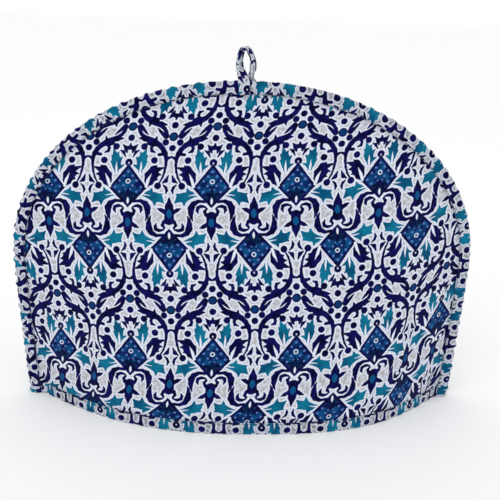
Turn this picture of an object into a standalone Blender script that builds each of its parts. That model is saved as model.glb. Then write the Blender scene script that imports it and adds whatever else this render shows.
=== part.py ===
"""A printed, wadded tea cosy standing open on its hem.

Two wadded panels are joined round their arched edge by a folded binding strip. A narrower strip is
folded round the lower edge of each panel, and a small hanging loop is stitched over the top.

Metres, +Z up, +X to the right, the front of the cosy looks along -Y. The origin is the centre of
the opening at the bottom, on the surface that the cosy stands on.
"""

import bpy
import numpy as np

# The joined edge, measured to the outside of the binding.
HEIGHT = 0.2365
WIDEST_HEIGHT = 0.109
WIDEST_HALF_WIDTH = 0.1665
FOOT_HALF_WIDTH = 0.1605
SHOULDER_POWER = 2.08
SIDE_POWER = 1.5

# How far the panels stand open.
FOOT_HALF_DEPTH = 0.0605
HEIGHT_POWER = 1.35
HEIGHT_ROUNDING = 0.79
LEFT_WIDTH_POWER = 2.35
RIGHT_WIDTH_POWER = 2.95
CREASE_ROUNDING = 0.004

# The wadded cloth of the panels.
FLAT_THICKNESS = 0.0025
WADDED_THICKNESS = 0.006
EDGE_THICKNESS = 0.0012
PILLOW_HEIGHT = 0.0016
PILLOW_REACH = 0.005

# Strips of folded cloth.
STRIP_THICKNESS = 0.001
STRIP_GAP = 0.0003
ARCH_STRIP_WIDTH = 0.0087
HEM_STRIP_WIDTH = 0.0083
SEAM_HALF_GAP = 0.00015
FOOT_HALF_GAP = 0.0016
FOOT_GAP_LOW = 0.009
FOOT_GAP_HIGH = 0.048

# The panel's edge inside the strips.
PANEL_EDGE_INSET = STRIP_THICKNESS + STRIP_GAP
PANEL_FOOT = STRIP_THICKNESS + STRIP_GAP
CREASE_INSET = ARCH_STRIP_WIDTH + 2.0 * STRIP_GAP

# Rows and columns of faces. The panel's rings run from its middle out to the crease beside the arch
# binding, the last few at these distances short of it, and then across the flat edge inside it.
INNER_RINGS = 11
RINGS_SHORT_OF_CREASE = (0.0115, 0.0065, 0.0034, 0.0014, 0.0)
RINGS_ACROSS_EDGE = (0.62, 1.0)
SKIRT_TOP = 0.018
SKIRT_ROWS = (PANEL_FOOT, 0.0086, 0.0125)
ARCH_STATIONS = 73
HEM_STATIONS = 37
HEM_SPREAD = 1.3
LOOP_STEPS = 44
CURVE_STEPS = 24
OUTLINE_SAMPLES = 1441

# Soft folds: where each one's middle is, its half sizes across and along, its lean from upright in
# degrees, and how far it lifts the cloth (a trough is negative). x and z in metres on the seam plane.
# The strips hold the cloth, so the folds fade towards the foot and the crease.
FOLD_SHARE_AT_FOOT = 0.2
FOLD_FADE_HEIGHT = 0.035
FOLD_FADE_DEPTH = 0.012
FOLD_COLUMNS = ("x", "z", "half_across", "half_along", "lean", "lift")
FRONT_FOLDS = (
    (-0.118, 0.045, 0.011, 0.050, -6.0, -0.0022),
    (-0.096, 0.040, 0.013, 0.055, -4.0, 0.0016),
    (0.124, 0.052, 0.010, 0.046, 7.0, -0.0024),
    (0.103, 0.035, 0.012, 0.048, 5.0, 0.0014),
    (0.030, 0.020, 0.030, 0.030, 0.0, -0.0012),
    (-0.035, 0.120, 0.040, 0.045, 12.0, 0.0012),
    (0.075, 0.135, 0.022, 0.055, -38.0, -0.0014),
    (-0.088, 0.150, 0.020, 0.050, 42.0, -0.0013),
)
BACK_FOLDS = (
    (-0.110, 0.050, 0.012, 0.052, -5.0, -0.0020),
    (0.116, 0.044, 0.012, 0.050, 6.0, -0.0022),
    (0.060, 0.030, 0.020, 0.040, 3.0, 0.0014),
    (-0.050, 0.025, 0.026, 0.034, 0.0, -0.0012),
    (0.020, 0.130, 0.036, 0.050, -10.0, 0.0012),
    (-0.080, 0.140, 0.022, 0.052, 40.0, -0.0014),
)

# Section of the arch binding, front half, from its stitched edge round to the fold: how far inside
# the outer edge, and how far proud of the panel's flat edge.
ARCH_SECTION_COLUMNS = ("inset", "proud")
ARCH_OUTER_SECTION = (
    (0.0086, 0.0004),
    (0.0087, 0.0010),
    (0.0078, 0.0015),
    (0.0050, 0.0017),
    (0.0025, 0.0012),
    (0.0008, 0.0000),
    (0.0000, -0.0015),
)
ARCH_INNER_SECTION = (
    (0.0010, -0.0009),
    (0.0040, 0.0003),
    (0.0084, 0.0003),
)

# Section of a hem binding: offset out from the panel's outer face (negative is inside), and height.
HEM_SECTION_COLUMNS = ("out", "height")
HEM_SECTION = (
    (0.0007, 0.0000),
    (0.0014, 0.0009),
    (0.0017, 0.0042),
    (0.0014, 0.0075),
    (0.0009, 0.0083),
    (0.0004, 0.0080),
    (0.0004, 0.0010),
    (-0.0030, 0.0010),
    (-0.0030, 0.0080),
    (-0.0035, 0.0083),
    (-0.0039, 0.0075),
    (-0.0039, 0.0009),
    (-0.0032, 0.0000),
)

# The hanging loop's path. The heading is the way that the strip's flat width points, in degrees
# from +X towards +Y. Its section is given in half widths across and half thicknesses through.
LOOP_WIDTH = 0.0068
LOOP_THICKNESS = 0.0021
LOOP_SECTION_COLUMNS = ("across", "through")
LOOP_SECTION = (
    (1.0, 0.45),
    (0.72, 1.0),
    (-0.72, 1.0),
    (-1.0, 0.45),
    (-1.0, -0.45),
    (-0.72, -1.0),
    (0.72, -1.0),
    (1.0, -0.45),
)
LOOP_COLUMNS = ("x", "y", "z", "heading")
LOOP_PATH = (
    (-0.0028, -0.0060, 0.2278, 0.0),
    (-0.0029, -0.0060, 0.2312, 0.0),
    (-0.0032, -0.0056, 0.2362, 6.0),
    (-0.0043, -0.0036, 0.2404, 34.0),
    (-0.0060, -0.0018, 0.2456, 58.0),
    (-0.0061, -0.0006, 0.2515, 66.0),
    (-0.0043, 0.0000, 0.2569, 66.0),
    (-0.0008, 0.0002, 0.2573, 66.0),
    (0.0019, 0.0004, 0.2528, 74.0),
    (0.0029, 0.0010, 0.2470, 64.0),
    (0.0027, 0.0022, 0.2424, 68.0),
    (0.0022, 0.0042, 0.2392, 112.0),
    (0.0017, 0.0058, 0.2360, 164.0),
    (0.0013, 0.0060, 0.2312, 177.0),
    (0.0011, 0.0060, 0.2278, 180.0),
)

# Colours of the cloth seen from far off, and of its strips.
CLOTH_COLOUR = (0.235, 0.330, 0.455)
STRIP_COLOUR = (0.270, 0.370, 0.480)
CLOTH_ROUGHNESS = 0.85
SHARP_ANGLE = 50.0

# Small lengths: half the run over which a slope is taken, and the least that counts as a length.
SLOPE_STEP = 0.0005
TINY = 1e-4


def column(table, columns, name):
    """One named column of a short table, as an array."""
    return np.array([row[columns.index(name)] for row in table])


def smooth_step(value):
    """Ease from 0 to 1 with level ends."""
    part = np.clip(value, 0.0, 1.0)
    return part * part * (3.0 - 2.0 * part)


def arch_outline(inset):
    """Points of the joined edge from the left foot over the top to the right foot, moved inward.

    Above the widest level it is half a superellipse, and below it the sides ease in to the foot.
    """
    turn = np.linspace(0.0, np.pi / 2.0, OUTLINE_SAMPLES)
    upper_x = WIDEST_HALF_WIDTH * np.cos(turn) ** (2.0 / SHOULDER_POWER)
    upper_z = WIDEST_HEIGHT + (HEIGHT - WIDEST_HEIGHT) * np.sin(turn) ** (2.0 / SHOULDER_POWER)
    lower_z = np.linspace(0.0, WIDEST_HEIGHT, OUTLINE_SAMPLES)[:-1]
    below = 1.0 - lower_z / WIDEST_HEIGHT
    lower_x = WIDEST_HALF_WIDTH - (WIDEST_HALF_WIDTH - FOOT_HALF_WIDTH) * below ** SIDE_POWER
    right = np.column_stack([np.append(lower_x, upper_x), np.append(lower_z, upper_z)])
    right[-1, 0] = 0.0
    left = right[:-1] * (-1.0, 1.0)
    points = np.concatenate([left, right[::-1]])
    along = np.gradient(points, axis=0)
    along /= np.linalg.norm(along, axis=1)[:, None]
    inward = np.column_stack([along[:, 1], -along[:, 0]])
    return points + inset * inward


def evenly_spaced(points, count):
    """The same line with this many points at equal steps along it."""
    steps = np.linalg.norm(np.diff(points, axis=0), axis=1)
    along = np.concatenate([[0.0], np.cumsum(steps)])
    wanted = np.linspace(0.0, along[-1], count)
    return np.column_stack([np.interp(wanted, along, points[:, i]) for i in range(points.shape[1])])


def radius_towards(angle, inset, centre_height):
    """Distance to the inset outline from a centre above the foot's middle, in the directions given."""
    points = arch_outline(inset) - (0.0, centre_height)
    points[:, 1] = np.where(points[:, 1] > -TINY, np.maximum(points[:, 1], 0.0), points[:, 1])
    points = points[points[:, 1] >= 0.0]
    angles = np.arctan2(points[:, 1], points[:, 0])
    lengths = np.hypot(points[:, 0], points[:, 1])
    order = np.argsort(angles)
    return np.interp(angle, angles[order], lengths[order])


def half_width_at(height, inset):
    """Half width of the inset outline at the heights given, nothing above its top."""
    points = arch_outline(inset)
    right = points[points[:, 0] >= 0.0]
    order = np.argsort(right[:, 1])
    return np.interp(height, right[order, 1], right[order, 0], right=0.0)


def open_depth(x, z):
    """How far a panel's sheet stands out from its flat edge.

    A rounded wedge up the height times a flattened dome across the width, with the crease along
    the binding softened. The dome is a little fuller on the right.
    """
    top = HEIGHT - CREASE_INSET
    half_width = np.maximum(half_width_at(z, CREASE_INSET), TINY)
    up = np.clip(z / top, 0.0, 1.0)
    across = np.clip(np.abs(x) / half_width, 0.0, 1.0)
    wedge = (1.0 - up ** HEIGHT_POWER) ** HEIGHT_ROUNDING
    dome = 1.0 - across ** np.where(x < 0.0, LEFT_WIDTH_POWER, RIGHT_WIDTH_POWER)
    depth = FOOT_HALF_DEPTH * wedge * dome
    return np.hypot(depth, CREASE_ROUNDING) - CREASE_ROUNDING


def fold_lift(x, z, folds):
    """Sum of the soft folds: each is an upright bell, leaned over, longer than it is wide."""
    lift = np.zeros_like(x)
    for row in folds:
        fold = dict(zip(FOLD_COLUMNS, row))
        lean = np.radians(fold["lean"])
        right = x - fold["x"]
        up = z - fold["z"]
        across = right * np.cos(lean) - up * np.sin(lean)
        along = right * np.sin(lean) + up * np.cos(lean)
        bell = np.exp(-(across / fold["half_across"]) ** 2 - (along / fold["half_along"]) ** 2)
        lift += fold["lift"] * bell
    return lift


def seam_gap(z):
    """Half the space between the panels' flat edges, wider near the foot for the hem strips."""
    high = smooth_step((FOOT_GAP_HIGH - z) / (FOOT_GAP_HIGH - FOOT_GAP_LOW))
    return SEAM_HALF_GAP + (FOOT_HALF_GAP - SEAM_HALF_GAP) * high


def sheet_out(x, z, folds):
    """Distance of the panel's outer face from the seam plane, without the pillow of the wadding."""
    depth = open_depth(x, z)
    loose = FOLD_SHARE_AT_FOOT + (1.0 - FOLD_SHARE_AT_FOOT) * smooth_step(z / FOLD_FADE_HEIGHT)
    loose = loose * (1.0 - np.exp(-depth / FOLD_FADE_DEPTH))
    return seam_gap(z) + FLAT_THICKNESS + depth + loose * fold_lift(x, z, folds)


def softness(x, z):
    """How full the wadding is, from 0 at the strips to 1 a little way inside them."""
    radius = np.hypot(x, z)
    crease = radius_towards(np.arctan2(z, x), CREASE_INSET, 0.0)
    from_arch = np.maximum(crease - radius, 0.0)
    from_hem = np.maximum(z - HEM_STRIP_WIDTH - STRIP_GAP, 0.0)
    return (1.0 - np.exp(-from_arch / PILLOW_REACH)) * (1.0 - np.exp(-from_hem / PILLOW_REACH))


def ring_reach(ring, crease, edge):
    """How far out each ring lies, for the crease's and the edge's distance in its direction."""
    inner_reach = crease - RINGS_SHORT_OF_CREASE[0]
    reach = ring / INNER_RINGS * inner_reach
    for step, short in enumerate(RINGS_SHORT_OF_CREASE):
        reach = np.where(ring == INNER_RINGS + step, crease - short, reach)
    last = INNER_RINGS + len(RINGS_SHORT_OF_CREASE)
    for step, share in enumerate(RINGS_ACROSS_EDGE):
        reach = np.where(ring == last + step, crease + share * (edge - crease), reach)
    return reach


def panel_grid():
    """Seam-plane places of the panel's points, and how far each lies across the flat edge.

    The lowest rows are level. Above them a square of columns and rows is bent onto a half disc ring
    by ring, so that its lower side stays straight and its other three sides become the arch.
    """
    last = INNER_RINGS + len(RINGS_SHORT_OF_CREASE)
    half = last + len(RINGS_ACROSS_EDGE) - 1
    across, up = np.meshgrid(np.arange(-half, half + 1), np.arange(half + 1))
    ring = np.maximum(np.abs(across), up)
    safe = np.maximum(ring, 1)
    right_side = 0.25 * np.pi * up / safe
    side_angle = np.where(across >= 0, right_side, np.pi - right_side)
    top_angle = 0.5 * np.pi - 0.25 * np.pi * across / safe
    angle = np.where(np.abs(across) >= up, side_angle, top_angle)
    crease = radius_towards(angle, CREASE_INSET, SKIRT_TOP)
    edge = radius_towards(angle, PANEL_EDGE_INSET, SKIRT_TOP)
    radius = ring_reach(ring, crease, edge)
    x = radius * np.cos(angle)
    z = SKIRT_TOP + radius * np.sin(angle)
    skirt_z = np.repeat(np.array(SKIRT_ROWS)[:, None], 2 * half + 1, axis=1)
    skirt_across = np.repeat(across[:1], len(SKIRT_ROWS), axis=0)
    crease = half_width_at(skirt_z, CREASE_INSET)
    edge = half_width_at(skirt_z, PANEL_EDGE_INSET)
    skirt_x = np.sign(skirt_across) * ring_reach(np.abs(skirt_across), crease, edge)
    shares = np.concatenate([np.zeros(last), RINGS_ACROSS_EDGE])
    across_edge = shares[np.concatenate([np.abs(skirt_across), ring])]
    return np.concatenate([skirt_x, x]), np.concatenate([skirt_z, z]), across_edge


def panel_surfaces(folds):
    """Outer and inner faces of a front panel as grids of points.

    The inner face lies the cloth's thickness behind the outer one, square to it, and stays on its
    own side of the seam plane. The wadding is thin beside the strips and full inside them.
    """
    x, z, across_edge = panel_grid()
    soft = softness(x, z)
    out = sheet_out(x, z, folds)
    rise_x = sheet_out(x + SLOPE_STEP, z, folds) - sheet_out(x - SLOPE_STEP, z, folds)
    rise_z = sheet_out(x, z + SLOPE_STEP, folds) - sheet_out(x, z - SLOPE_STEP, folds)
    slope_x = rise_x / (2.0 * SLOPE_STEP)
    slope_z = rise_z / (2.0 * SLOPE_STEP)
    normal = np.stack([-slope_x, -np.ones_like(x), -slope_z], axis=-1)
    normal /= np.linalg.norm(normal, axis=-1)[..., None]
    face = np.stack([x, -(out + PILLOW_HEIGHT * soft), z], axis=-1)
    thickness = FLAT_THICKNESS + (WADDED_THICKNESS - FLAT_THICKNESS) * soft
    inner = face - normal * thickness[..., None]
    inner[..., 1] = np.minimum(inner[..., 1], -seam_gap(z))
    inner[0, :, 2] = face[0, :, 2]
    inner[across_edge > 0.0, 0::2] = face[across_edge > 0.0, 0::2]
    outer = face.copy()
    outer[across_edge == 1.0, 1] += FLAT_THICKNESS - EDGE_THICKNESS
    return outer, inner


def closed_sheet(outer, inner):
    """Vertices and faces of a solid between two grids of the same size."""
    rows, columns, _ = outer.shape
    count = rows * columns
    number = np.arange(count).reshape(rows, columns)
    a = number[:-1, :-1].ravel()
    b = number[:-1, 1:].ravel()
    c = number[1:, 1:].ravel()
    d = number[1:, :-1].ravel()
    faces = np.concatenate([np.column_stack([a, b, c, d]), np.column_stack([d, c, b, a]) + count])
    rim = np.concatenate([number[0, :], number[1:, -1], number[-1, -2::-1], number[-2:0:-1, 0]])
    after = np.roll(rim, -1)
    sides = np.column_stack([after, rim, rim + count, after + count])
    vertices = np.concatenate([outer.reshape(-1, 3), inner.reshape(-1, 3)])
    return vertices, np.concatenate([faces, sides])


def swept_section(sections):
    """Vertices and faces of a closed section carried along a path and capped at both ends."""
    stations, points, _ = sections.shape
    number = np.arange(stations * points).reshape(stations, points)
    following = np.roll(number, -1, axis=1)
    sides = np.stack([number[:-1], following[:-1], following[1:], number[1:]], axis=-1)
    faces = sides.reshape(-1, 4).tolist()
    faces.append(number[0, ::-1].tolist())
    faces.append(number[-1].tolist())
    return sections.reshape(-1, 3), faces


def arch_binding_sections():
    """The folded strip's section at each step from the left foot over the top to the right foot."""
    front_inset = column(ARCH_OUTER_SECTION, ARCH_SECTION_COLUMNS, "inset")
    front_proud = column(ARCH_OUTER_SECTION, ARCH_SECTION_COLUMNS, "proud")
    lining_inset = column(ARCH_INNER_SECTION, ARCH_SECTION_COLUMNS, "inset")
    lining_proud = column(ARCH_INNER_SECTION, ARCH_SECTION_COLUMNS, "proud")
    inset = np.concatenate([front_inset, front_inset[::-1], lining_inset[::-1], lining_inset])
    proud = np.concatenate([front_proud, front_proud[::-1], lining_proud[::-1], lining_proud])
    front = len(front_inset)
    lining = len(lining_inset)
    side = np.concatenate([-np.ones(front), np.ones(front), np.ones(lining), -np.ones(lining)])
    outer_line = evenly_spaced(arch_outline(0.0), ARCH_STATIONS)
    along = np.gradient(outer_line, axis=0)
    along /= np.linalg.norm(along, axis=1)[:, None]
    inward = np.column_stack([along[:, 1], -along[:, 0]])
    inward[0] = (1.0, 0.0)
    inward[-1] = (-1.0, 0.0)
    x = outer_line[:, 0][:, None] + inward[:, 0][:, None] * inset
    z = outer_line[:, 1][:, None] + inward[:, 1][:, None] * inset
    flat_edge = seam_gap(outer_line[:, 1]) + FLAT_THICKNESS
    y = side * (flat_edge[:, None] + proud)
    return np.stack([x, y, z], axis=-1)[:, ::-1]


def hem_binding_sections(folds):
    """The hem strip's section at each step across the foot, between the arch binding's two ends.

    Each line of the strip is parallel to the panel's outer face at its own height, and it ends just
    short of the arch binding.
    """
    out = column(HEM_SECTION, HEM_SECTION_COLUMNS, "out")
    height = column(HEM_SECTION, HEM_SECTION_COLUMNS, "height")
    spread = np.sin(np.linspace(-1.0, 1.0, HEM_STATIONS) * HEM_SPREAD) / np.sin(HEM_SPREAD)
    sections = np.zeros((HEM_STATIONS, len(out), 3))
    fine = np.linspace(-FOOT_HALF_WIDTH, FOOT_HALF_WIDTH, OUTLINE_SAMPLES)
    for index, (offset, level) in enumerate(zip(out, height)):
        x = spread * half_width_at(level, ARCH_STRIP_WIDTH + STRIP_GAP)
        face = sheet_out(fine, np.full_like(fine, max(level, PANEL_FOOT)), folds)
        slope = np.gradient(face, fine)
        length = np.hypot(1.0, slope)
        moved_x = fine - offset * slope / length
        moved_y = face + offset / length
        sections[:, index, 0] = x
        sections[:, index, 1] = -np.interp(x, moved_x, moved_y)
        sections[:, index, 2] = level
    return sections[:, ::-1]


def smooth_path(rows, count):
    """Points at equal steps on a Catmull-Rom curve through the rows given."""
    padded = np.concatenate([[2.0 * rows[0] - rows[1]], rows, [2.0 * rows[-1] - rows[-2]]])
    fine = []
    for i in range(len(rows) - 1):
        before, start, end, after = padded[i:i + 4]
        t = np.linspace(0.0, 1.0, CURVE_STEPS, endpoint=False)[:, None]
        curve = (
            2.0 * start
            + (end - before) * t
            + (2.0 * before - 5.0 * start + 4.0 * end - after) * t ** 2
            + (3.0 * start - before - 3.0 * end + after) * t ** 3
        )
        fine.append(0.5 * curve)
    fine.append(rows[-1:])
    line = np.concatenate(fine)
    steps = np.linalg.norm(np.diff(line[:, :3], axis=0), axis=1)
    along = np.concatenate([[0.0], np.cumsum(steps)])
    wanted = np.linspace(0.0, along[-1], count)
    return np.column_stack([np.interp(wanted, along, line[:, i]) for i in range(line.shape[1])])


def loop_sections():
    """The loop's flat strip at each step: a long rounded section whose width follows the heading."""
    rows = np.array(LOOP_PATH)
    path = smooth_path(rows, LOOP_STEPS + 1)
    centre = path[:, :LOOP_COLUMNS.index("heading")]
    heading = np.radians(path[:, LOOP_COLUMNS.index("heading")])
    along = np.gradient(centre, axis=0)
    along /= np.linalg.norm(along, axis=1)[:, None]
    width = np.column_stack([np.cos(heading), np.sin(heading), np.zeros(len(heading))])
    width -= np.sum(width * along, axis=1)[:, None] * along
    width /= np.linalg.norm(width, axis=1)[:, None]
    through = np.cross(along, width)
    across_share = column(LOOP_SECTION, LOOP_SECTION_COLUMNS, "across")[None, :, None]
    through_share = column(LOOP_SECTION, LOOP_SECTION_COLUMNS, "through")[None, :, None]
    sideways = across_share * 0.5 * LOOP_WIDTH * width[:, None, :]
    outwards = through_share * 0.5 * LOOP_THICKNESS * through[:, None, :]
    return centre[:, None, :] + sideways + outwards


def cloth_material(name, colour):
    """A plain matt cloth."""
    material = bpy.data.materials.new(name)
    material.use_nodes = True
    shader = material.node_tree.nodes["Principled BSDF"]
    shader.inputs["Base Color"].default_value = (*colour, 1.0)
    shader.inputs["Roughness"].default_value = CLOTH_ROUGHNESS
    shader.inputs["Metallic"].default_value = 0.0
    material.diffuse_color = (*colour, 1.0)
    return material


def add_piece(name, vertices, faces, colour):
    """A named object from its points and faces, shaded smooth but for its sharp rims."""
    mesh = bpy.data.meshes.new(name)
    mesh.from_pydata(np.asarray(vertices).tolist(), [], [list(face) for face in faces])
    mesh.update()
    mesh.shade_smooth()
    mesh.set_sharp_from_angle(angle=np.radians(SHARP_ANGLE))
    mesh.materials.append(cloth_material(name, colour))
    piece = bpy.data.objects.new(name, mesh)
    bpy.context.scene.collection.objects.link(piece)
    return piece


def mirrored(vertices, faces):
    """The same solid on the other side of the seam plane."""
    turned = np.asarray(vertices) * (1.0, -1.0, 1.0)
    return turned, [list(face)[::-1] for face in faces]


def clear_scene():
    """Remove every object that the scene starts with."""
    for piece in list(bpy.data.objects):
        bpy.data.objects.remove(piece)


def main():
    """Build the cosy's six pieces."""
    clear_scene()
    front = closed_sheet(*panel_surfaces(FRONT_FOLDS))
    add_piece("front_panel", *front, CLOTH_COLOUR)
    back = mirrored(*closed_sheet(*panel_surfaces(BACK_FOLDS)))
    add_piece("back_panel", *back, CLOTH_COLOUR)
    front_hem = swept_section(hem_binding_sections(FRONT_FOLDS))
    add_piece("front_hem_binding", *front_hem, STRIP_COLOUR)
    back_hem = mirrored(*swept_section(hem_binding_sections(BACK_FOLDS)))
    add_piece("back_hem_binding", *back_hem, STRIP_COLOUR)
    add_piece("arch_binding", *swept_section(arch_binding_sections()), STRIP_COLOUR)
    add_piece("top_loop", *swept_section(loop_sections()), STRIP_COLOUR)


main()
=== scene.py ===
"""Dresses the printed, wadded tea cosy and sets it before the camera.

The shared frame is in metres, +Z up, with the front of the cosy looking along -Y. Each cloth is a
surface worked out with numpy. Each carries its place on the printed cloth as a point attribute, in
millimetres, and one node material draws the print from that place.
"""

import logging
import math
from collections.abc import Iterable, Iterator, Sequence
from dataclasses import dataclass
from enum import Enum, IntEnum

import bpy
import numpy as np
from mathutils import Matrix, Vector

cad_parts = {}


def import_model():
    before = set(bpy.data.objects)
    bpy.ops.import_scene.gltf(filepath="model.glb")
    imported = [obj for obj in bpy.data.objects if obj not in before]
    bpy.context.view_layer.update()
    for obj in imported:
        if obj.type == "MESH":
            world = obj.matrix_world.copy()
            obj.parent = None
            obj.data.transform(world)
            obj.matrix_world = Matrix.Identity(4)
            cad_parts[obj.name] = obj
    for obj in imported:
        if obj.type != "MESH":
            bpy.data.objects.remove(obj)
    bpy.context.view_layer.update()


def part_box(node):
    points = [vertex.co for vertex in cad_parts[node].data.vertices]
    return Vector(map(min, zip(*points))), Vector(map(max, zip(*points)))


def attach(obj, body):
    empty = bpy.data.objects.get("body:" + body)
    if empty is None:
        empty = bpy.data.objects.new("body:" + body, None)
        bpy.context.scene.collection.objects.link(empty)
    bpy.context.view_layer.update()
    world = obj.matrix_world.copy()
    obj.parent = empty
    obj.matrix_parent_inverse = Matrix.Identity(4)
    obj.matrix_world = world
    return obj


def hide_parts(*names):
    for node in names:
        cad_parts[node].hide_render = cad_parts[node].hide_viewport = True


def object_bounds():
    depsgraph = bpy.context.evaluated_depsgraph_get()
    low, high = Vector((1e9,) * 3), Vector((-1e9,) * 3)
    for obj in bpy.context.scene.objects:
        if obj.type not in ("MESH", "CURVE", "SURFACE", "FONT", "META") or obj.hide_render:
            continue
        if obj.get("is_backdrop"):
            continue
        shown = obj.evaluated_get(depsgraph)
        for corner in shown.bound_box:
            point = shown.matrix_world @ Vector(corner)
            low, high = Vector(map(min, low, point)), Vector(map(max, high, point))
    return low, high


Colour = tuple[float, float, float]
Point = tuple[float, float]
Value = "Field | float | Sequence[float]"
Strokes = Sequence[Sequence[Sequence[float]]]

MILLIMETRES = 1000.0
SEED = 41
OUTLINE_SAMPLES = 2881
SLOPE_STEP = 0.0005
TINY = 1e-4
BUMP_STRENGTH = 0.5
NOISE_MIDDLE = (0.5, 0.5, 0.5)

# The standard curve of screen colours: straight when dark, then a power.
BRIGHTEST = 255.0
STRAIGHT_LIMIT = 0.04045
STRAIGHT_SLOPE = 12.92
CURVE_SHIFT = 0.055
CURVE_POWER = 2.4

PLACE = "cloth_place"

log = logging.getLogger("tea_cosy")


def run_lengths(points: np.ndarray) -> np.ndarray:
    """The length along a line up to each of its points."""
    steps = np.linalg.norm(np.diff(points, axis=0), axis=1)
    return np.concatenate([[0.0], np.cumsum(steps)])


def unit_rows(rows: np.ndarray) -> np.ndarray:
    """The same directions, each of length 1."""
    return rows / np.linalg.norm(rows, axis=-1)[..., None]


def srgb(red: int, green: int, blue: int) -> Colour:
    """The linear colour for a screen colour from 0 to 255.

    Args:
        red: the red part, from 0 to 255.
        green: the green part.
        blue: the blue part.

    Returns:
        The three linear parts, from 0 to 1.
    """
    parts = np.array((red, green, blue)) / BRIGHTEST
    curved = ((parts + CURVE_SHIFT) / (1.0 + CURVE_SHIFT)) ** CURVE_POWER
    linear = np.where(parts <= STRAIGHT_LIMIT, parts / STRAIGHT_SLOPE, curved)
    return tuple(float(part) for part in linear)


def smooth_step(value: np.ndarray) -> np.ndarray:
    """Ease from 0 to 1 with level ends."""
    part = np.clip(value, 0.0, 1.0)
    return part * part * (3.0 - 2.0 * part)


class Side(Enum):
    """The side of the seam plane that a cloth stands on."""

    FRONT = 1.0
    BACK = -1.0


class Seed(IntEnum):
    """Where the random draws of each piece start."""

    FRONT_PANEL = 10
    BACK_PANEL = 20
    FRONT_HEM = 30
    BACK_HEM = 40
    ARCH_EDGE = 50
    ARCH_FRONT = 51
    ARCH_BACK = 52
    LOOP = 60


# --------------------------------------------------------------------------------------------------
# Material graphs
# --------------------------------------------------------------------------------------------------


@dataclass(frozen=True)
class Field:
    """A number, vector or colour that flows through a material, with the usual operators."""

    graph: "Graph"
    socket: bpy.types.NodeSocket

    def __add__(self, other: Value) -> "Field":
        """Sum."""
        return self.graph.maths("ADD", self, other)

    def __radd__(self, other: Value) -> "Field":
        """Sum, with the field on the right."""
        return self.graph.maths("ADD", other, self)

    def __sub__(self, other: Value) -> "Field":
        """Difference."""
        return self.graph.maths("SUBTRACT", self, other)

    def __rsub__(self, other: Value) -> "Field":
        """Difference, with the field on the right."""
        return self.graph.maths("SUBTRACT", other, self)

    def __mul__(self, other: Value) -> "Field":
        """Product."""
        return self.graph.maths("MULTIPLY", self, other)

    def __rmul__(self, other: Value) -> "Field":
        """Product, with the field on the right."""
        return self.graph.maths("MULTIPLY", other, self)

    def __neg__(self) -> "Field":
        """The field with its sign turned."""
        return self.graph.maths("MULTIPLY", self, -1.0)

    def __abs__(self) -> "Field":
        """The field without its sign."""
        return self.graph.maths("ABSOLUTE", self)

    def least(self, other: Value) -> "Field":
        """The smaller of two."""
        return self.graph.maths("MINIMUM", self, other)

    def most(self, other: Value) -> "Field":
        """The larger of two."""
        return self.graph.maths("MAXIMUM", self, other)

    def held(self) -> "Field":
        """The field held between 0 and 1."""
        return self.graph.read(self.graph.node("ShaderNodeClamp", {}, {"Value": self}))

    def clamped(self, scale: float, offset: float) -> "Field":
        """The field times scale plus offset, held between 0 and 1."""
        return self.graph.maths("MULTIPLY_ADD", self, scale, offset).held()


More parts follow.
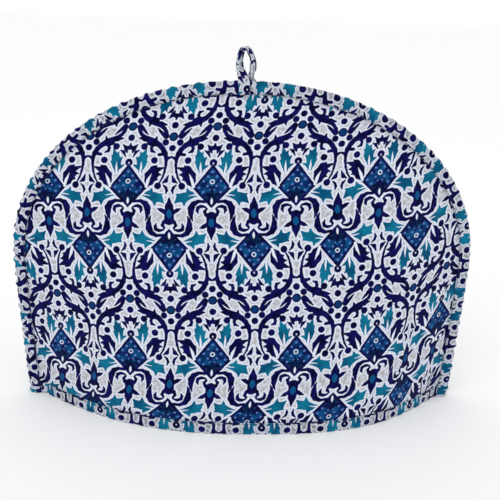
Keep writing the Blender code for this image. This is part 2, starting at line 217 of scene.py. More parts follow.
class Graph:
    """One material's nodes."""

    def __init__(self, name: str) -> None:
        """Start a material with an empty tree.

        Args:
            name: the material's name.
        """
        self.material = bpy.data.materials.new(name)
        self.material.use_nodes = True
        self.tree = self.material.node_tree
        self.tree.nodes.clear()

    def node(self, kind: str, settings: dict[str, object], inputs: dict[object, Value]) -> bpy.types.Node:
        """Add a node.

        Args:
            kind: the node's type in Blender.
            settings: its properties, set before its sockets.
            inputs: values or fields by the socket's name or number.

        Returns:
            The new node.
        """
        made = self.tree.nodes.new(kind)
        for name, value in settings.items():
            setattr(made, name, value)
        for key, value in inputs.items():
            if isinstance(value, Field):
                self.tree.links.new(value.socket, made.inputs[key])
            else:
                made.inputs[key].default_value = value
        return made

    def read(self, node: bpy.types.Node, output: str | int = 0) -> Field:
        """A node's output as a field."""
        return Field(self, node.outputs[output])

    def maths(self, operation: str, *values: Value) -> Field:
        """A Math node on numbers."""
        return self.read(self.node("ShaderNodeMath", {"operation": operation}, dict(enumerate(values))))

    def vector(self, operation: str, *values: Value, output: str = "Vector") -> Field:
        """A Vector Math node."""
        settings = {"operation": operation}
        return self.read(self.node("ShaderNodeVectorMath", settings, dict(enumerate(values))), output)

    def mix(self, share: Value, first: Value, second: Value) -> Field:
        """A blend of two colours, all of the second where the share is 1.

        Args:
            share: how much of the second colour there is.
            first: the colour where the share is 0.
            second: the colour where the share is 1.

        Returns:
            The blended colour.
        """
        pairs = {"Factor": share, 6: opaque(first), 7: opaque(second)}
        made = self.node("ShaderNodeMix", {"data_type": "RGBA"}, pairs)
        return Field(self, made.outputs[2])

    def noise(self, place: Field, size: float, detail: float = 1.0) -> Field:
        """Soft noise between 0 and 1 whose patches are about this size."""
        inputs = {"Vector": place, "Scale": 1.0 / size, "Detail": detail}
        return self.read(self.node("ShaderNodeTexNoise", {}, inputs), "Fac")

    def weave(self, place: Field, other: str, thread: float, depth: float) -> Field:
        """A plain weave, one thread over the next both ways, as a product of waves.

        Args:
            place: the place on the cloth.
            other: the weave's second axis, beside X.
            thread: the length of a wave.
            depth: how deep the weave is.

        Returns:
            The bumped normal.
        """
        parts = self.node("ShaderNodeSeparateXYZ", {}, {"Vector": place})
        turn = 2.0 * math.pi / thread
        warp = self.maths("SINE", self.read(parts, "X") * turn)
        weft = self.maths("SINE", self.read(parts, other) * turn)
        bump = {"Strength": BUMP_STRENGTH, "Distance": depth, "Height": warp * weft}
        return self.read(self.node("ShaderNodeBump", {}, bump), "Normal")

    def finish(self, inputs: dict[str, Value]) -> bpy.types.Material:
        """Join the surface to the output.

        Args:
            inputs: the Principled shader's sockets by name.

        Returns:
            The finished material.
        """
        shader = self.node("ShaderNodeBsdfPrincipled", {}, inputs)
        surface = {"Surface": self.read(shader, "BSDF")}
        self.node("ShaderNodeOutputMaterial", {}, surface)
        return self.material


def opaque(colour: Value) -> Value:
    """A plain colour with its alpha added, or a field as it is."""
    return colour if isinstance(colour, Field) else (*colour, 1.0)


# --------------------------------------------------------------------------------------------------
# The print
# --------------------------------------------------------------------------------------------------


@dataclass(frozen=True)
class Repeat:
    """The print's repeat, in millimetres.

    Kites stand tip up and tip down by turns. Every shape has a mirror through each kite's middle,
    and a half turn about the point between two neighbours, so that a quarter of the repeat holds it all.
    """

    half_width: float = 28.6
    height: float = 118.2
    turning_line: float = -11.9

    def fold(self, graph: Graph, place: Field) -> tuple[Field, Field]:
        """Fold a place on the cloth into the quarter repeat.

        The place goes to and fro between neighbouring mirror lines, and where it lies in the turned
        half of the height, across is counted from the other mirror line.

        Args:
            graph: the material's graph.
            place: the place on the cloth.

        Returns:
            The distance from the upright kite's middle, and the height over its lower tip.
        """
        parts = graph.node("ShaderNodeSeparateXYZ", {}, {"Vector": place})
        along = graph.read(parts, "X") - self.half_width
        up = graph.read(parts, "Y") - self.turning_line
        half_height = 0.5 * self.height
        folded_up = graph.maths("PINGPONG", up, half_height)
        turned = graph.maths("GREATER_THAN", graph.maths("FLOORED_MODULO", up, self.height), half_height)
        folded_across = graph.maths("PINGPONG", along, self.half_width)
        across = abs(turned * -self.half_width + folded_across)
        return across, folded_up + self.turning_line


class Motifs:
    """Distances to drawn shapes, in millimetres, less than nothing inside them."""

    def __init__(self, graph: Graph, place: Field) -> None:
        """Keep the graph and the folded place that shapes are measured from."""
        self.graph = graph
        self.place = place

    def away(self, point: Value) -> Field:
        """Distance from a point."""
        spot = point if isinstance(point, Field) else (*point, 0.0)
        return self.graph.vector("DISTANCE", self.place, spot, output="Value")

    def disc(self, across: float, up: float, radius: float) -> Field:
        """A round dot."""
        return self.away((across, up)) - radius

    def bar(self, start: Point, end: Point, start_radius: float, end_radius: float) -> Field:
        """A round-ended bar that tapers from one radius to the other.

        The share along the bar is the place's run along it over its length squared, held from 0 to 1.

        Args:
            start: where it starts.
            end: where it ends.
            start_radius: its radius at the start.
            end_radius: its radius at the end.

        Returns:
            The distance to its edge.
        """
        run = (end[0] - start[0], end[1] - start[1], 0.0)
        squared = run[0] ** 2 + run[1] ** 2
        unit = (run[0] / squared, run[1] / squared, 0.0)
        from_start = self.graph.vector("SUBTRACT", self.place, (*start, 0.0))
        along = self.graph.vector("DOT_PRODUCT", from_start, unit, output="Value")
        share = along.held()
        nearest = self.graph.node("ShaderNodeVectorMath", {"operation": "SCALE"}, {0: run, "Scale": share})
        away = self.graph.vector("DISTANCE", from_start, self.graph.read(nearest), output="Value")
        if start_radius == end_radius:
            return away - start_radius
        return away - self.graph.maths("MULTIPLY_ADD", share, end_radius - start_radius, start_radius)

    def petal(self, start: Point, end: Point, half_width: float) -> Field:
        """A pointed petal, where two equal discs overlap.

        Args:
            start: one tip.
            end: the other tip.
            half_width: half its width in the middle.

        Returns:
            The distance to its edge.
        """
        middle = (0.5 * (start[0] + end[0]), 0.5 * (start[1] + end[1]))
        run = (end[0] - start[0], end[1] - start[1])
        half = 0.5 * math.hypot(*run)
        shift = 0.5 * (half * half / half_width - half_width)
        side = (-run[1] / (2.0 * half) * shift, run[0] / (2.0 * half) * shift)
        left = self.away((middle[0] + side[0], middle[1] + side[1]))
        right = self.away((middle[0] - side[0], middle[1] - side[1]))
        return left.most(right) - (half_width + shift)

    def slope(self, direction: Point, reach: float) -> Field:
        """The side of a straight line, less than nothing towards the folded place's start.

        Args:
            direction: the way in which the distance grows, of any length.
            reach: how far off the line lies.

        Returns:
            The distance past the line.
        """
        length = math.hypot(*direction)
        unit = (direction[0] / length, direction[1] / length, 0.0)
        return self.graph.vector("DOT_PRODUCT", self.place, unit, output="Value") - reach


def least_of(shapes: Iterable[Field]) -> Field:
    """The union of shapes, each joined to it as soon as it is made.

    Args:
        shapes: distances to the shapes.

    Returns:
        The distance to the nearest of them.
    """
    shapes = iter(shapes)
    union = next(shapes)
    for shape in shapes:
        union = union.least(shape)
    return union


# Shapes of the quarter repeat, in millimetres. The columns are the place across from the kite's middle,
# the place up from its slit, and the radius. A stroke runs through its points and tapers between them,
# and a dot is one row. A petal is given by its two tips, without a radius. The places and radii were read,
# point by point, off the photograph laid flat under a grid, and listed.
STEM = (
    (21.3, 12.0, 0.35),
    (23.3, 15.5, 0.45),
    (24.5, 19.5, 0.6),
    (25.2, 24.0, 0.75),
    (25.2, 28.5, 1.1),
    (24.2, 32.0, 1.5),
    (22.4, 35.2, 1.5),
    (19.6, 38.0, 1.6),
    (16.4, 39.6, 2.1),
    (13.6, 41.2, 1.6),
    (9.4, 43.2, 1.1),
)
STEM_END = ((9.4, 43.2, 1.1), (6.9, 45.2, 1.1), (5.8, 47.6, 1.5), (5.2, 50.2, 1.9))
PRONG = ((24.4, 43.8, 0.5), (21.8, 45.4, 1.4), (19.5, 47.4, 0.9), (17.2, 49.4, 0.15))
PRONG_LIGHT = ((21.7, 46.9, 0.1), (20.2, 48.4, 0.4), (18.0, 50.0, 0.1))
STEM_HOOK = ((15.2, 37.9, 0.9), (14.5, 35.6, 0.8), (15.0, 33.7, 0.85), (17.2, 32.8, 0.35))
STEM_LEAF = ((14.2, 41.0, 1.5), (9.6, 42.2, 1.8), (5.4, 42.5, 0.2))
STALK = ((24.3, 10.6, 0.3), (26.0, 9.0, 0.7), (26.7, 7.0, 0.7), (26.2, 4.9, 0.3))
SCROLL_ARM = (
    (4.6, -0.6, 0.9),
    (9.0, -0.3, 1.0),
    (12.2, -2.1, 1.7),
    (13.7, -5.0, 2.1),
    (13.9, -8.2, 1.6),
)
SCROLL_TIP = ((13.9, -8.2, 1.6), (13.5, -11.0, 0.8), (12.5, -13.6, 0.15))
SCROLL_CURL = ((3.8, -4.2, 0.4), (6.6, -3.5, 0.9), (9.0, -4.4, 1.0), (9.5, -6.4, 0.8), (8.7, -8.4, 0.2))
SCROLL_END = ((3.2, -5.4, 0.6), (4.6, -7.2, 0.8), (3.8, -9.2, 0.9), (0.0, -9.9, 0.9))
SCROLL_LIGHT = ((1.6, -5.6, 0.35), (2.6, -3.4, 0.5), (4.8, -2.1, 0.5), (7.8, -1.9, 0.5), (10.6, -3.6, 0.2))
CROWN = ((0.0, 38.6, 0.4), (0.0, 36.0, 1.2), (2.7, 35.6, 1.3), (4.9, 38.0, 0.2))
NAVY_STROKES = (
    STEM,
    STEM_HOOK,
    STEM_LEAF,
    STALK,
    SCROLL_ARM,
    SCROLL_CURL,
    SCROLL_END,
    CROWN,
    ((2.7, 35.6, 1.3), (1.9, 32.7, 0.4)),
    ((6.4, 34.1, 0.2), (4.3, 32.9, 0.9), (2.6, 29.7, 0.2)),
    ((11.9, 38.9, 0.9), (15.6, 38.6, 1.7)),
    ((22.8, 31.8, 1.0), (20.0, 31.3, 0.9)),
    ((25.2, 28.5, 1.1), (28.6, 29.9, 0.45)),
    ((27.3, 17.2, 0.2), (25.9, 13.6, 1.2), (23.4, 12.0, 0.2)),
    ((17.4, 43.7, 0.2), (16.6, 40.6, 1.4)),
    ((21.0, -5.4, 0.3), (23.2, -6.3, 1.1), (26.2, -8.0, 1.4)),
    ((28.6, 2.2, 0.2), (28.6, -3.8, 2.6)),
    ((16.9, 20.6, 2.6), (20.4, 21.3, 1.3), (23.3, 22.4, 0.5)),
    ((17.5, 18.5, 2.2), (22.1, 17.6, 0.3)),
    ((15.6, 12.2, 1.5), (17.4, 17.5, 3.0), (17.0, 21.6, 2.1), (19.2, 23.8, 0.2)),
    ((16.8, 15.0, 2.2), (20.2, 14.2, 0.2)),
    ((13.4, 9.6, 0.2), (15.6, 12.2, 1.5)),
    ((16.9, 20.6, 2.6), (12.9, 17.6, 1.5), (11.9, 13.4, 0.6), (12.6, 10.6, 0.2)),
)
TEAL_STROKES = (
    ((8.2, 19.8, 1.2), (8.4, 25.0, 2.6), (9.3, 29.0, 2.6), (11.2, 34.9, 0.2)),
    ((7.6, 22.0, 1.6), (3.4, 24.0, 0.2)),
    ((8.0, 26.0, 2.4), (4.8, 29.4, 0.2)),
    ((9.0, 29.5, 1.8), (7.4, 33.0, 0.2)),
    ((9.2, 23.0, 1.8), (12.4, 26.6, 0.2)),
    ((9.6, 26.5, 2.0), (12.4, 30.6, 0.2)),
    ((10.6, 3.6, 0.6), (14.0, 4.0, 2.2), (18.6, 2.4, 3.1), (21.4, 1.8, 2.5), (24.9, -1.6, 0.2)),
    ((15.4, 4.8, 2.2), (16.6, 8.3, 0.2)),
    ((20.4, 3.4, 1.7), (23.8, 4.4, 0.3)),
    ((18.4, 0.8, 2.0), (18.6, -3.2, 0.2)),
)
WHITE_STROKES = (
    SCROLL_LIGHT,
    ((8.1, 19.0, 0.7), (8.5, 22.5, 0.7), (8.5, 26.2, 0.1)),
    ((12.4, 9.6, 0.9), (13.7, 13.8, 1.0), (15.8, 18.3, 0.1)),
    ((10.4, 4.2, 0.5), (15.4, 3.4, 0.15)),
)
NAVY_OVER_TOP = (STEM_END, PRONG, ((0.0, 50.6, 2.8), (0.0, 50.7, 2.8)))
NAVY_OVER_FOOT = (
    SCROLL_TIP,
    ((28.6, -3.8, 2.6), (28.6, -13.0, 3.3)),
    ((25.4, -13.9, 0.9), (28.6, -13.9, 0.9)),
)
WHITE_OVER_TOP = (PRONG_LIGHT,)
NAVY_DOTS = (
    (17.2, 27.4, 2.1),
    (9.6, 36.8, 2.1),
    (0.0, 42.8, 2.1),
    (28.6, 35.9, 2.1),
    (23.7, 39.8, 2.05),
    (20.4, 10.0, 2.15),
    (28.6, 43.8, 2.8),
)
BEAD = (28.6, 43.8, 2.1)
KITE_DOTS = (
    (0.0, 19.6, 0.8),
    (3.0, 16.6, 0.8),
    (5.8, 13.4, 0.8),
    (3.1, 10.1, 0.75),
    (8.8, 9.1, 0.8),
    (5.9, 6.0, 0.75),
    (1.6, 7.6, 0.5),
    (4.0, 2.6, 0.5),
)
FAN_STROKES = (
    ((0.0, 6.6, 1.0), (0.0, 2.0, 1.4)),
    ((1.4, 0.0, 1.2), (3.4, 3.6, 2.0)),
    ((3.4, 3.6, 2.0), (5.6, 4.2, 0.3)),
)
KITE_BALL = (0.0, 25.8, 2.4)
KITE_BALL_LIGHT = (0.0, 25.5, 0.75)
LILY_HEART = ((28.6, -12.2), (28.6, -5.6))
SLIT = ((0.0, -2.6), (0.0, 2.2))

# The ground of the strips, a little darker and greyer than that of the panels: painted shade, standing in
# for the shadows in the strips' wrinkles.
STRIP_SHADED_WHITE = srgb(210, 216, 229)
STRIP_SHADED_GREY = srgb(124, 124, 130)
STRIP_HALO = 0.4


@dataclass(frozen=True)
class PrintFinish:
    """The printed cotton: colours, edges and weave. Lengths are in millimetres.

    Shapes are joined with a soft corner, so that strokes flow into each other as brushed ink does.
    """

    name: str
    repeat: Repeat = Repeat()
    corner: float = 0.8
    navy: Colour = srgb(1, 1, 44)
    navy_light: Colour = srgb(12, 12, 84)
    teal: Colour = srgb(2, 76, 112)
    teal_light: Colour = srgb(12, 112, 142)
    blue: Colour = srgb(5, 22, 80)
    blue_light: Colour = srgb(8, 74, 124)
    heart: Colour = srgb(10, 78, 128)
    bead: Colour = srgb(8, 54, 104)
    pale: Colour = srgb(92, 122, 188)
    white: Colour = srgb(222, 228, 244)
    grey: Colour = srgb(172, 170, 172)
    halo: float = 0.55
    halo_reach: float = 1.3
    fan_share: float = 0.8
    soft_edge: float = 0.5
    edge: float = 0.34
    spread: float = 0.26
    wobble: float = 0.5
    kite_half_width: float = 12.6
    kite_shoulder: float = 8.5
    kite_tip: float = 24.6
    kite_foot: float = -4.6
    kite_line: float = 1.1
    ring_radius: float = 1.3
    ring_half_line: float = 0.32
    ring_height: float = 13.0
    slit_half_width: float = 0.8
    heart_half_width: float = 1.9
    thread: float = 0.26
    weave_depth: float = 0.00004
    roughness: float = 0.85
    sheen: float = 0.03
    shine: float = 0.05
    patch: float = 14.0
    slub: float = 2.2
    mottle: float = 4.5
    shake_scale: float = 0.35
    patch_gain: float = 4.0
    patch_start: float = -1.5
    slub_gain: float = 2.4
    slub_start: float = -0.5
    sheen_roughness: float = 0.5

    def ink(self, shape: Field) -> Field:
        """How much of a shape's colour lies at a place, spread a little and with a soft edge."""
        return shape.clamped(-1.0 / self.edge, 0.5 + self.spread / self.edge)

    def bare(self, shape: Field) -> Field:
        """How much of a shape's colour lies at a place, with a soft edge and no spread."""
        return shape.clamped(-1.0 / self.edge, 0.5)

    def strokes(self, motifs: Motifs, table: Strokes) -> Iterator[Field]:
        """Bars between each two neighbouring points of each stroke.

        Args:
            motifs: the distances to shapes.
            table: the strokes, each with its points and their radii.

        Returns:
            The distance to each bar, one after the other.
        """
        for stroke in table:
            for start, end in zip(stroke[:-1], stroke[1:]):
                yield motifs.bar(start[:2], end[:2], start[2], end[2])

    def union(self, shapes: Iterable[Field]) -> Field:
        """Shapes joined with a soft corner, each as soon as it is made.

        Args:
            shapes: distances to the shapes.

        Returns:
            The distance to all of them together.
        """
        shapes = iter(shapes)
        joined_shape = next(shapes)
        for shape in shapes:
            joined_shape = shape.graph.maths("SMOOTH_MIN", joined_shape, shape, self.corner)
        return joined_shape

    def with_turned(self, inside: Strokes, over_top: Strokes, over_foot: Strokes) -> Strokes:
        """Strokes of the quarter repeat, and both halves of those that cross its turning lines.

        Args:
            inside: strokes that stay inside.
            over_top: strokes that cross the upper turning line.
            over_foot: strokes that cross the lower one.

        Returns:
            All strokes, with a copy of each crossing one turned half round about the line's middle.
        """
        width, foot = self.repeat.half_width, self.repeat.turning_line
        strokes = [*inside, *over_top, *over_foot]
        for crossing, line in ((over_top, foot + 0.5 * self.repeat.height), (over_foot, foot)):
            for stroke in crossing:
                strokes.append([(width - row[0], 2.0 * line - row[1], row[2]) for row in stroke])
        return strokes

    def kite(self, motifs: Motifs) -> Field:
        """The kite's outline: the further of two straight lines, over its tip and under its foot.

        Args:
            motifs: the distances to shapes.

        Returns:
            The distance to its edge, less than nothing inside.
        """
        rise = self.kite_tip - self.kite_shoulder
        drop = self.kite_shoulder - self.kite_foot
        width = self.kite_half_width
        upper = motifs.slope((rise, width), width * self.kite_tip / math.hypot(rise, width))
        lower = motifs.slope((drop, -width), -width * self.kite_foot / math.hypot(drop, width))
        return upper.most(lower)

    def colour(self, graph: Graph) -> Field:
        """The print's colour, drawn layer over layer.

        Args:
            graph: the material's graph.

        Returns:
            The colour as a field.
        """
        cloth = graph.read(graph.node("ShaderNodeAttribute", {"attribute_name": PLACE}, {}), "Vector")
        noise = {"Vector": cloth, "Scale": self.shake_scale, "Detail": 1.0}
        shaken = graph.read(graph.node("ShaderNodeTexNoise", {}, noise), "Color")
        shift = graph.vector("SUBTRACT", shaken, NOISE_MIDDLE)
        place = graph.vector("MULTIPLY_ADD", shift, (self.wobble, self.wobble, 0.0), cloth)
        across, up = self.repeat.fold(graph, place)
        folded = graph.read(graph.node("ShaderNodeCombineXYZ", {}, {"X": across, "Y": up}), "Vector")
        motifs = Motifs(graph, folded)
        kite = self.kite(motifs)
        navy_table = self.with_turned(NAVY_STROKES, NAVY_OVER_TOP, NAVY_OVER_FOOT)
        navy = self.union(self.strokes(motifs, navy_table))
        for row in NAVY_DOTS:
            navy = navy.least(motifs.disc(*row))
        navy = navy.least(abs(kite + 0.5 * self.kite_line) - 0.5 * self.kite_line)
        ball = motifs.disc(*KITE_BALL).most(self.halo - kite)
        navy = navy.least(ball.most(-motifs.disc(*KITE_BALL_LIGHT)))
        teal = self.union(self.strokes(motifs, TEAL_STROKES))
        heart = motifs.petal(*LILY_HEART, self.heart_half_width)
        outside = navy.least(teal).least(kite)
        patches = graph.noise(place, self.patch)
        slubs = graph.noise(place, self.slub).clamped(self.slub_gain, self.slub_start)
        open_ground = outside.clamped(1.0 / self.halo_reach, -self.halo / self.halo_reach)
        # On the strips, the darker white and grey of this ground are painted shade for their wrinkles; on
        # the panels they are the print's own ground.
        ground = graph.mix(open_ground * slubs, self.white, self.grey)
        teals = graph.mix(patches.clamped(self.patch_gain, self.patch_start), self.teal, self.teal_light)
        colour = graph.mix(self.ink(teal), ground, teals)
        mottles = graph.noise(place, self.mottle).clamped(self.patch_gain, self.patch_start)
        blues = graph.mix(mottles, self.blue, self.blue_light)
        colour = graph.mix(self.ink(kite), colour, blues)
        dots = least_of(motifs.disc(*row) for row in KITE_DOTS)
        colour = graph.mix(dots.clamped(-1.0 / self.soft_edge, 0.5), colour, self.pale)
        fan = self.union(self.strokes(motifs, FAN_STROKES)).most(kite + self.kite_line)
        colour = graph.mix(self.ink(fan) * self.fan_share, colour, self.navy)
        colour = graph.mix(self.ink(navy), colour, graph.mix(mottles, self.navy, self.navy_light))
        colour = graph.mix(self.bare(heart), colour, self.heart)
        colour = graph.mix(self.bare(motifs.disc(*BEAD)), colour, self.bead)
        light = abs(motifs.disc(0.0, self.ring_height, self.ring_radius)) - self.ring_half_line
        light = light.least(motifs.petal(*SLIT, self.slit_half_width))
        for shape in self.strokes(motifs, self.with_turned(WHITE_STROKES, WHITE_OVER_TOP, ())):
            light = light.least(shape)
        return graph.mix(self.bare(light), colour, self.white)

    def material(self) -> bpy.types.Material:
        """The finished print.

        Returns:
            The print as a material.
        """
        graph = Graph(self.name)
        cloth = graph.read(graph.node("ShaderNodeAttribute", {"attribute_name": PLACE}, {}), "Vector")
        return graph.finish(
            {
                "Base Color": self.colour(graph),
                "Roughness": self.roughness,
                "Sheen Weight": self.sheen,
                "Sheen Roughness": self.sheen_roughness,
                "Specular IOR Level": self.shine,
                "Normal": graph.weave(cloth, "Y", self.thread, self.weave_depth),
            }
        )


@dataclass(frozen=True)
class CottonFinish:
    """Plain cotton for the inside: natural colour with a weave and faint slubs. Lengths in metres."""

    name: str
    colour: Colour = srgb(232, 226, 212)
    slub: Colour = srgb(205, 196, 176)
    thread: float = 0.00035
    weave_depth: float = 0.00005
    roughness: float = 0.9
    shine: float = 0.2
    slub_size: float = 0.004
    slub_detail: float = 3.0
    slub_gain: float = 2.0
    slub_start: float = -0.9

    def material(self) -> bpy.types.Material:
        """The finished cotton.

        Returns:
            The cotton as a material.
        """
        graph = Graph(self.name)
        place = graph.read(graph.node("ShaderNodeTexCoord", {}, {}), "Object")
        slubs = graph.noise(place, self.slub_size, self.slub_detail)
        share = slubs.clamped(self.slub_gain, self.slub_start)
        return graph.finish(
            {
                "Base Color": graph.mix(share, self.colour, self.slub),
                "Roughness": self.roughness,
                "Specular IOR Level": self.shine,
                "Normal": graph.weave(place, "Z", self.thread, self.weave_depth),
            }
        )


@dataclass(frozen=True)
class ThreadFinish:
    """Sewing thread, navy, with a faint sheen. The navy is partly painted shade: the dark stitches also
    stand in for the shadow line along the strips' inner edge. Darker patches along the thread are painted
    shade between its twisted plies. Lengths in metres.
    """

    name: str
    # Navy thread, partly painted shade: it also stands in for the shadow line at the strips' inner edge.
    colour: Colour = srgb(26, 27, 66)
    # The darker colour is painted shade between the twisted plies.
    ply_shade_colour: Colour = srgb(8, 9, 38)
    twist: float = 0.0005
    twist_detail: float = 2.0
    twist_gain: float = 3.0
    twist_start: float = -1.0
    roughness: float = 0.6
    sheen: float = 0.05

    def material(self) -> bpy.types.Material:
        """The finished thread.

        Returns:
            The thread as a material.
        """
        graph = Graph(self.name)
        place = graph.read(graph.node("ShaderNodeTexCoord", {}, {}), "Object")
        # Painted shade between the plies: the thread is darker in patches along it.
        ply_shade_noise = graph.noise(place, self.twist, self.twist_detail)
        share = ply_shade_noise.clamped(self.twist_gain, self.twist_start)
        return graph.finish(
            {
                "Base Color": graph.mix(share, self.colour, self.ply_shade_colour),
                "Roughness": self.roughness,
                "Sheen Weight": self.sheen,
            }
        )


# --------------------------------------------------------------------------------------------------
# The cosy's shape
# --------------------------------------------------------------------------------------------------

# Soft folds, in metres, with their lean in degrees from upright. The lift of a trough is less than nothing.
FOLD_COLUMNS = ("x", "z", "half_across", "half_along", "lean", "lift")
FRONT_FOLDS = (
    (-0.118, 0.045, 0.011, 0.050, -6.0, -0.0022),
    (-0.096, 0.040, 0.013, 0.055, -4.0, 0.0016),
    (0.124, 0.052, 0.010, 0.046, 7.0, -0.0024),
    (0.103, 0.035, 0.012, 0.048, 5.0, 0.0014),
    (0.030, 0.020, 0.030, 0.030, 0.0, -0.0012),
    (-0.035, 0.120, 0.040, 0.045, 12.0, 0.0012),
    (0.075, 0.135, 0.022, 0.055, -38.0, -0.0014),
    (-0.088, 0.150, 0.020, 0.050, 42.0, -0.0013),
)
BACK_FOLDS = (
    (-0.110, 0.050, 0.012, 0.052, -5.0, -0.0020),
    (0.116, 0.044, 0.012, 0.050, 6.0, -0.0022),
    (0.060, 0.030, 0.020, 0.040, 3.0, 0.0014),
    (-0.050, 0.025, 0.026, 0.034, 0.0, -0.0012),
    (0.020, 0.130, 0.036, 0.050, -10.0, 0.0012),
    (-0.080, 0.140, 0.022, 0.052, 40.0, -0.0014),
)
FOLDS = {Side.FRONT: FRONT_FOLDS, Side.BACK: BACK_FOLDS}


@dataclass(frozen=True)
class CosyShape:
    """The cosy's drawn shape, in metres, by the formulas that its solids follow."""

    height: float
    widest_half_width: float
    widest_height: float = 0.109
    foot_half_width: float = 0.1605
    shoulder_power: float = 2.08
    side_power: float = 1.5
    foot_half_depth: float = 0.0605
    height_power: float = 1.35
    height_rounding: float = 0.79
    left_width_power: float = 2.35
    right_width_power: float = 2.95
    crease_rounding: float = 0.004
    flat_thickness: float = 0.0025
    wadded_thickness: float = 0.006
    edge_thickness: float = 0.0012
    pillow_height: float = 0.0016
    pillow_reach: float = 0.005
    seam_half_gap: float = 0.00015
    foot_half_gap: float = 0.0016
    foot_gap_low: float = 0.009
    foot_gap_high: float = 0.048
    arch_strip_width: float = 0.0087
    hem_strip_width: float = 0.0083
    strip_gap: float = 0.0003
    strip_thickness: float = 0.001
    fold_share_at_foot: float = 0.2
    fold_fade_height: float = 0.035
    fold_fade_depth: float = 0.012

    @property
    def crease_inset(self) -> float:
        """How far inside the outer edge the arch binding's stitched edge meets the panel."""
        return self.arch_strip_width + 2.0 * self.strip_gap

    @property
    def edge_inset(self) -> float:
        """How far inside the arch binding's outer edge the panel ends."""
        return self.strip_thickness + self.strip_gap

    def outline(self, inset: float) -> np.ndarray:
        """Points of the joined edge from the left foot over the top to the right foot, moved inward.

        Above the widest level it is half a superellipse, and below it the sides ease in to the foot.

        Args:
            inset: how far to move it inward.

        Returns:
            Rows of x and z.
        """
        turn = np.linspace(0.0, np.pi / 2.0, OUTLINE_SAMPLES)
        power = 2.0 / self.shoulder_power
        upper_x = self.widest_half_width * np.cos(turn) ** power
        upper_z = self.widest_height + (self.height - self.widest_height) * np.sin(turn) ** power
        lower_z = np.linspace(0.0, self.widest_height, OUTLINE_SAMPLES)[:-1]
        below = 1.0 - lower_z / self.widest_height
        taper = (self.widest_half_width - self.foot_half_width) * below**self.side_power
        right = np.column_stack(
            [np.append(self.widest_half_width - taper, upper_x), np.append(lower_z, upper_z)]
        )
        right[-1, 0] = 0.0
        points = np.concatenate([right[:-1] * (-1.0, 1.0), right[::-1]])
        along = unit_rows(np.gradient(points, axis=0))
        return points + inset * np.column_stack([along[:, 1], -along[:, 0]])

    def reach(self, angle: np.ndarray, inset: float, centre_height: float) -> np.ndarray:
        """Distance to the inset outline from a centre above the foot's middle, in the directions given.

        Args:
            angle: the directions, in radians from the right foot up.
            inset: how far inside the outer edge the outline lies.
            centre_height: how high the centre is.

        Returns:
            The distance in each direction.
        """
        points = self.outline(inset) - (0.0, centre_height)
        points[:, 1] = np.where(points[:, 1] > -TINY, np.maximum(points[:, 1], 0.0), points[:, 1])
        points = points[points[:, 1] >= 0.0]
        angles = np.arctan2(points[:, 1], points[:, 0])
        order = np.argsort(angles)
        return np.interp(angle, angles[order], np.hypot(points[:, 0], points[:, 1])[order])

    def half_width(self, height: np.ndarray, inset: float) -> np.ndarray:
        """Half width of the inset outline at the heights given, nothing above its top.

        Args:
            height: the heights, in metres.
            inset: how far inside the outer edge the outline lies.

        Returns:
            The half width at each height.
        """
        points = self.outline(inset)
        right = points[points[:, 0] >= 0.0]
        order = np.argsort(right[:, 1])
        return np.interp(height, right[order, 1], right[order, 0], right=0.0)

    def open_depth(self, x: np.ndarray, z: np.ndarray) -> np.ndarray:
        """How far a panel stands out from its flat edge.

        A rounded wedge up the height times a flattened dome across the width, a little fuller on
        the right, with the crease along the binding softened.

        Args:
            x: across, in metres.
            z: up, in metres.

        Returns:
            The depth at each place.
        """
        half_width = np.maximum(self.half_width(z, self.crease_inset), TINY)
        up = np.clip(z / (self.height - self.crease_inset), 0.0, 1.0)
        across = np.clip(np.abs(x) / half_width, 0.0, 1.0)
        wedge = (1.0 - up**self.height_power) ** self.height_rounding
        dome = 1.0 - across ** np.where(x < 0.0, self.left_width_power, self.right_width_power)
        return np.hypot(self.foot_half_depth * wedge * dome, self.crease_rounding) - self.crease_rounding

    def fold_lift(self, x: np.ndarray, z: np.ndarray, side: Side) -> np.ndarray:
        """Sum of the soft folds, each an upright bell, leaned over, longer than it is wide.

        Args:
            x: across, in metres.
            z: up, in metres.
            side: the panel's side.

        Returns:
            The lift at each place.
        """
        lift = np.zeros_like(x)
        for row in FOLDS[side]:
            fold = dict(zip(FOLD_COLUMNS, row))
            lean = math.radians(fold["lean"])
            right = x - fold["x"]
            up = z - fold["z"]
            across = right * math.cos(lean) - up * math.sin(lean)
            along = right * math.sin(lean) + up * math.cos(lean)
            squared = (across / fold["half_across"]) ** 2 + (along / fold["half_along"]) ** 2
            lift += fold["lift"] * np.exp(-squared)
        return lift

    def seam_gap(self, z: np.ndarray) -> np.ndarray:
        """Half the space between the panels' flat edges, wider near the foot for the hem strips."""
        high = smooth_step((self.foot_gap_high - z) / (self.foot_gap_high - self.foot_gap_low))
        return self.seam_half_gap + (self.foot_half_gap - self.seam_half_gap) * high

    def sheet_out(self, x: np.ndarray, z: np.ndarray, side: Side) -> np.ndarray:
        """Distance of a panel's outer face from the seam plane, without the pillow of its wadding.

        Args:
            x: across, in metres.
            z: up, in metres.
            side: the panel's side.

        Returns:
            The distance at each place.
        """
        depth = self.open_depth(x, z)
        loose = self.fold_share_at_foot + (1.0 - self.fold_share_at_foot) * smooth_step(
            z / self.fold_fade_height
        )
        loose = loose * (1.0 - np.exp(-depth / self.fold_fade_depth))
        return self.seam_gap(z) + self.flat_thickness + depth + loose * self.fold_lift(x, z, side)

    def from_arch(self, x: np.ndarray, z: np.ndarray) -> np.ndarray:
        """Distance inside the arch binding's crease, along the line from the foot's middle."""
        crease = self.reach(np.arctan2(z, x), self.crease_inset, 0.0)
        return np.maximum(crease - np.hypot(x, z), 0.0)

    def from_hem(self, z: np.ndarray) -> np.ndarray:
        """Height over the hem strip."""
        return np.maximum(z - self.hem_strip_width - self.strip_gap, 0.0)

